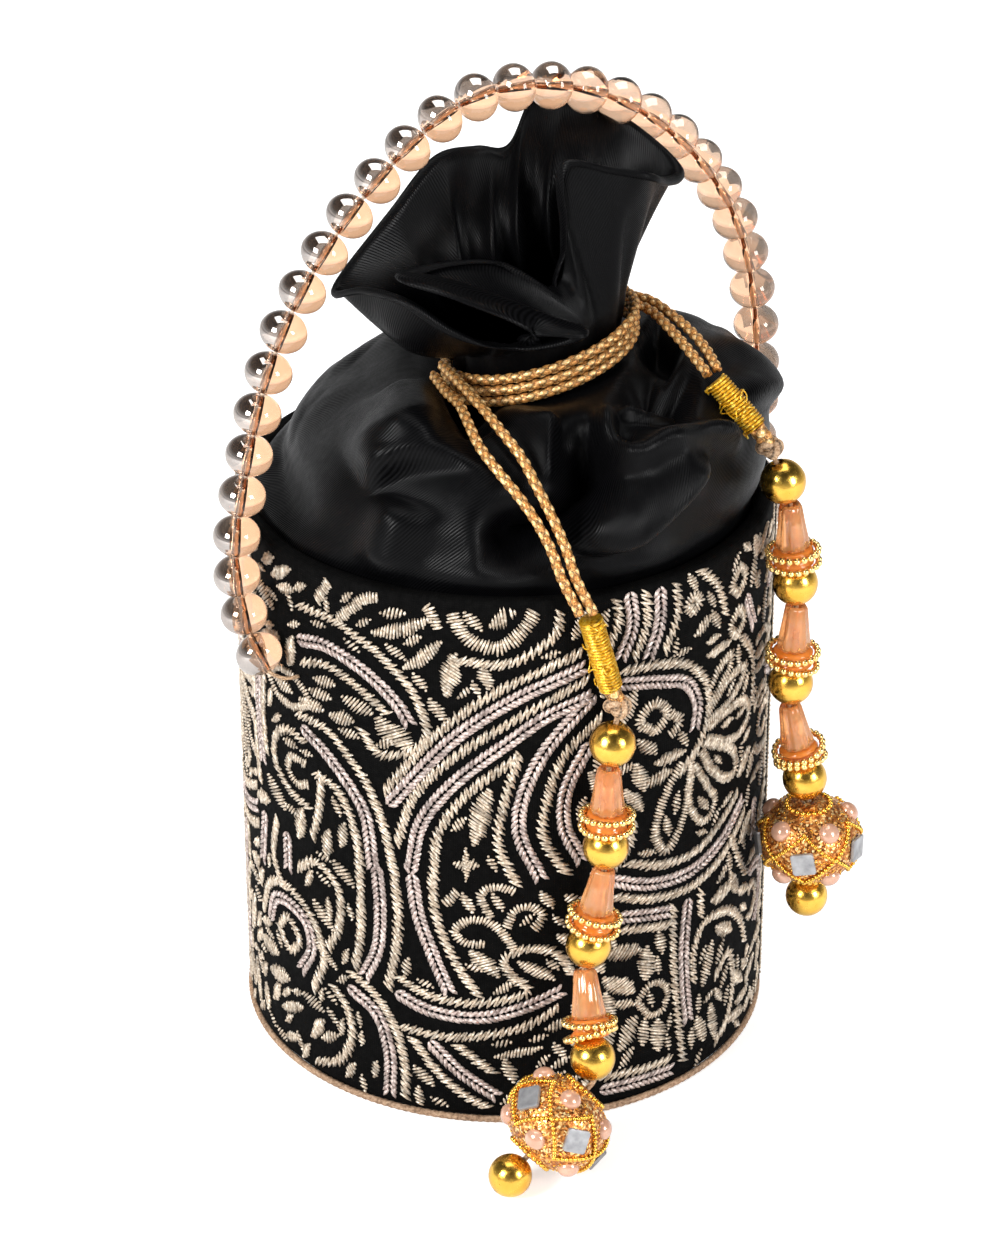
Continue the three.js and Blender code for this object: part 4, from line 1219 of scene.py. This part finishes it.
# Satin top: one gathered sheet from the tuck inside the rim, through the neck, to the ruffle's rolled edge
satin = {
    "around": 300,
    "domeRows": 96,
    "ruffleRows": 44,
    "rollRows": 9,
    "flat": (0.33, 0.11),
    "thickness": 0.35,
    "tuck": 52.8,
    "rim": 127.0,
    "neck": 18.0,
    "pleats": 13,
    # Rings of the dome: shift along the lean, radius past the tuck's, height over the rim, rise
    "rings": [
        (0, -1, -18, 0), (0, 0, 0.3, 0), (2.25, -0.05, 6, 0), (4.35, -1.45, 13.5, 0), (7, -5.8, 20.25, 0.25),
        (8.75, -14.05, 26, 1.5), (9, -23.8, 28.5, 3), (7.4, -34.8, 26.5, 5.6), (7.4, -34.8, 37.8, 5.6)],
    "foldGain": 1.85,
    "foldWidth": 0.85,
    # Folds of the dome: how far out, how wide on the left and on the right of the line, and the line as the
    # camera sees it in a 1000 by 1250 view
    "folds": [
        (4.0, 55, 7, [(432, 378), (434, 414), (436, 462)]),
        (-6.0, 22, 26, [(466, 378), (470, 415), (478, 450)]),
        (4.5, 8, 48, [(362, 492), (395, 470), (440, 461), (485, 462), (520, 478)]),
        (3.4, 40, 6, [(553, 416), (549, 446), (543, 482)]),
        (-8.5, 30, 30, [(590, 415), (588, 480), (565, 522), (505, 540), (470, 545)]),
        (5.5, 13, 11, [(594, 404), (603, 418), (606, 442), (624, 465), (655, 454), (700, 440), (745, 445)]),
        (-5.0, 26, 26, [(625, 372), (650, 392), (700, 402)]),
        (6.5, 9, 58, [(558, 549), (610, 538), (645, 515), (680, 482), (702, 448)]),
        (3.0, 30, 30, [(385, 590), (393, 545), (408, 500)]),
        (2.0, 28, 24, [(400, 582), (500, 592), (620, 582), (705, 542)]),
        (2.2, 6, 6, [(612, 414), (650, 418), (692, 408)]),
        (3.5, 26, 30, [(702, 340), (738, 362), (764, 412)]),
        (-4.5, 24, 18, [(642, 332), (662, 342), (684, 350)]),
        (-2.6, 60, 60, [(410, 306), (350, 356), (296, 414), (262, 480), (240, 560), (232, 620)]),
    ],
    # The ruffle's edge: along the lean, away from the camera, height, angle at the neck, size of its roll
    "edge": [
        (35, 5, 195, 10, 1.2), (24, 13, 202, 40, 1.2), (14, 17, 205, 62, 1.2), (6, 16, 205.5, 80, 1.2),
        (1, 9, 197, 100, 1.2), (-5, 12, 196, 118, 1.2), (-13, 10, 195, 135, 1.2), (-22, 4, 186, 155, 1.2),
        (-34.5, -3, 172, 180, 1.0), (-27, -12, 175.5, 198, 1.0), (-19, -20, 176.5, 210, 1.0),
        (-10, -25, 172.5, 221, 1.0), (-2, -26, 169.5, 232, 1.0), (8, -26, 169.5, 244, 1.0),
        (16, -24, 172, 256, 2.2), (9, -20, 173, 264, 4.0), (-1, -19, 177, 271, 4.8),
        (-12, -18, 180.5, 278, 4.6), (-20, -16, 181, 284, 2.4), (-12, -11, 181, 289, 1.2),
        (0, -9, 180, 294, 1.2), (8, -9, 174.5, 299, 1.2), (11.5, -8, 176, 303, 1.2),
        (11.5, -7, 187, 309, 1.2), (11, -6, 199.7, 317, 1.2),
        (20, -7, 199.5, 328, 1.2), (28, -8, 199, 340, 1.2), (31, -3, 196, 351, 1.2)],
}
satinRows = satin["domeRows"] + satin["ruffleRows"] + satin["rollRows"]


# Where points in the row frame, in millimetres, come in the camera's view of 1000 by 1250
def seenFrom(points):
    away = points - np.array(camera["place"])
    depth = -(away @ np.array(camera["back"]))
    return np.stack([500 + 4000 * (away @ np.array(camera["right"])) / depth,
                     625 - 4000 * (away @ np.array(camera["up"])) / depth], axis=1)


# How much a fold along the line moves each point that the camera sees there, from 0 to 1
def foldShare(seen, line, left, right):
    line = smoothLine([(a, b, 0) for a, b in line], 3.0)[:, :2]
    best = np.full(len(seen), 1e9)
    side = np.zeros(len(seen))
    along = np.zeros(len(seen))
    for k, (a, b) in enumerate(zip(line, line[1:])):
        run = b - a
        t = np.clip(((seen - a) @ run) / (run @ run), 0, 1)
        off = seen - a - t[:, None] * run
        far = np.linalg.norm(off, axis=1)
        hand = run[0] * off[:, 1] - run[1] * off[:, 0]
        nearer = far < best
        best[nearer] = far[nearer]
        side[nearer] = hand[nearer]
        along[nearer] = (k + t[nearer]) / (len(line) - 1)
    width = np.where(side > 0, left, right)
    ends = np.clip(np.minimum(along, 1 - along) / 0.22, 0, 1)
    return np.exp(-((best / width) ** 2)) * ends * ends * (3 - 2 * ends)


def satinDome(u, v):
    rows = np.array([(a, satin["tuck"] + b, satin["rim"] + c, d) for a, b, c, d in satin["rings"]])
    fine = smoothLine(rows, 0.5)
    i = v * (len(fine) - 1)
    shift, wide, high, rise = (np.interp(i, np.arange(len(fine)), fine[:, k]) for k in range(4))
    turned = 2 * math.pi * u
    near = np.clip((satin["tuck"] - wide) / (satin["tuck"] - satin["neck"]), 0, 1)
    pleat = np.sin(satin["pleats"] * turned + 0.8 * np.sin(2 * turned)) + 0.5 * np.sin(7 * turned + 1.3)
    back = np.clip(1.5 * np.sin(turned) - 0.35, 0, 1)  # the folds that the photograph doesn't show
    reach = wide + pleat * near * (1 - near) * (1.6 + 4.5 * back) - 0.9 * near**3 * (1 + pleat / 1.5)
    lift = 1.4 * near * (1 - near) * back * np.sin(5 * turned + 0.6)
    return (np.outer(shift + reach * np.cos(turned), lean) + np.outer(reach * np.sin(turned), across)
            + np.outer(high + rise * np.cos(turned) + lift, up))


strandsSeen = [seenFrom(line) for _, line in cords.values()]
edgeLine = np.array(satin["edge"])
edgeLine = np.vstack([edgeLine[-3:] - [0, 0, 0, 360, 0], edgeLine, edgeLine[:3] + [0, 0, 0, 360, 0]])
edgeFine = smoothLine(edgeLine, 0.5)
edgeFine = edgeFine[np.concatenate([[True], np.diff(edgeFine[:, 3]) > 1e-4])]
once = edgeFine[(edgeFine[:, 3] >= 0) & (edgeFine[:, 3] < 360)]
run = np.concatenate([[0], np.cumsum(np.linalg.norm(np.diff(once[:, :3], axis=0), axis=1))])
angleShare = (once[:, 3] - once[0, 3]) / (once[-1, 3] - once[0, 3])
columnShare = 0.6 * run / run[-1] + 0.4 * angleShare  # more columns where the edge is long


# The angle round the neck of a column, as a share of a turn
def columnAngle(u):
    return np.interp(u, columnShare, angleShare)


# From the neck (t = 0) to the edge (t = 1), and then over the edge's roll (t up to 2)
def satinRuffle(u, t):
    angle = (u * 360) % 360
    x, y, z, roll = (np.interp(angle, edgeFine[:, 3], edgeFine[:, k]) for k in (0, 1, 2, 4))
    edge = np.outer(x, lean) + np.outer(y, across) + np.outer(z, up)
    turned = np.radians(angle)
    foot = satinDome(u, np.ones(len(u)))
    s = np.clip(t, 0, 1)[:, None]
    front = np.exp(-(((angle - 200) / 19) ** 2))  # the front left comes down nearly to the cord
    behind = np.exp(-(((angle - 104) / 68) ** 4))  # the wall behind leans over the mouth
    bend = (foot + np.outer(6 + 0.25 * (z - 165) - 12 * front, up)
            + (0.35 + 0.45 * front)[:, None] * (edge - foot) * (1, 1, 0))
    spot = (1 - s) ** 2 * foot + 2 * s * (1 - s) * bend + s**2 * edge
    belly = 4 * s[:, 0] * (1 - s[:, 0])
    ridge = 1 - np.abs(np.sin(np.pi * (angle - 66) / 23)) ** 0.8
    crease = np.sin(17 * turned + 2 * np.sin(3 * turned)) * 0.7 * (1 - behind) * belly
    crease -= 5.5 * behind * ridge * belly**0.7
    out = np.outer(np.cos(turned), lean) + np.outer(np.sin(turned), across)
    spot = (spot + out * crease[:, None] - np.outer(15 * behind * belly, across)
            - np.outer(3 * behind * belly, lean))
    ahead = edge - bend
    ahead /= np.linalg.norm(ahead, axis=1)[:, None]
    curl = out - ahead * (out * ahead).sum(1)[:, None]
    curl /= np.maximum(np.linalg.norm(curl, axis=1)[:, None], 1e-6)
    a = np.clip(t - 1, 0, 1) * 210 * degrees
    return spot + roll[:, None] * (np.sin(a)[:, None] * ahead + (1 - np.cos(a))[:, None] * curl)


def satinSpot(u, v):
    u = columnAngle(u)
    domeShare = satin["domeRows"] / satinRows
    ruffleShare = (satin["domeRows"] + satin["ruffleRows"]) / satinRows
    row = np.clip(v / domeShare, 0, 1)
    dome = satinDome(u, row)
    onRuffle, onRoll = (v - domeShare) / (ruffleShare - domeShare), 1 + (v - ruffleShare) / (1 - ruffleShare)
    ruffle = satinRuffle(u, np.clip(np.where(v < ruffleShare, onRuffle, onRoll), 0, 2))
    spots = np.where((v <= domeShare)[:, None], dome, ruffle)
    step = 1e-3
    sideways = satinDome(u + step, row) - dome
    upwards = satinDome(u, row + step) - dome
    normal = np.cross(sideways, upwards)
    normal /= np.maximum(np.linalg.norm(normal, axis=1)[:, None], 1e-9)
    toCamera = np.array(camera["place"]) - dome
    toCamera /= np.linalg.norm(toCamera, axis=1)[:, None]
    facingShare = np.clip(((normal * toCamera).sum(1) + 0.45) / 0.6, 0, 1)
    free = np.clip((spots[:, 2] - satin["rim"]) / 5, 0, 1) * np.clip((domeShare - v) / 0.12, 0, 1)
    seen = seenFrom(dome)
    move = np.zeros(len(u))
    for amount, left, right, line in satin["folds"]:
        share = foldShare(seen, line, satin["foldWidth"] * left, satin["foldWidth"] * right)
        move += satin["foldGain"] * amount * share
    nearest = np.full(len(u), 1e9)
    for strand in strandsSeen:
        for spot in strand[::2]:
            nearest = np.minimum(nearest, np.linalg.norm(seen - spot, axis=1))
    room = 0.012 * np.clip(nearest - 6, 0, 60) ** 2
    # The strands lie on the cloth
    move = np.where(move > 0, move * room / (move.clip(0.01) + room + 0.01), move)
    return spots + normal * (move * facingShare * free)[:, None], None


satinMesh = gridMesh("satinTop", satin["around"], satinRows, satinSpot)
satinTop = addPiece("satinTop", satinMesh, "bag", "black_satin", satinFinish(satin["flat"]))
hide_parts("satin_pouch")
smoother = satinTop.modifiers.new("soften", "SMOOTH")
smoother.factor = 0.5
smoother.iterations = 2
shell = satinTop.modifiers.new("cloth", "SOLIDIFY")
shell.thickness = satin["thickness"] * mm
shell.offset = -1
print("satin made")
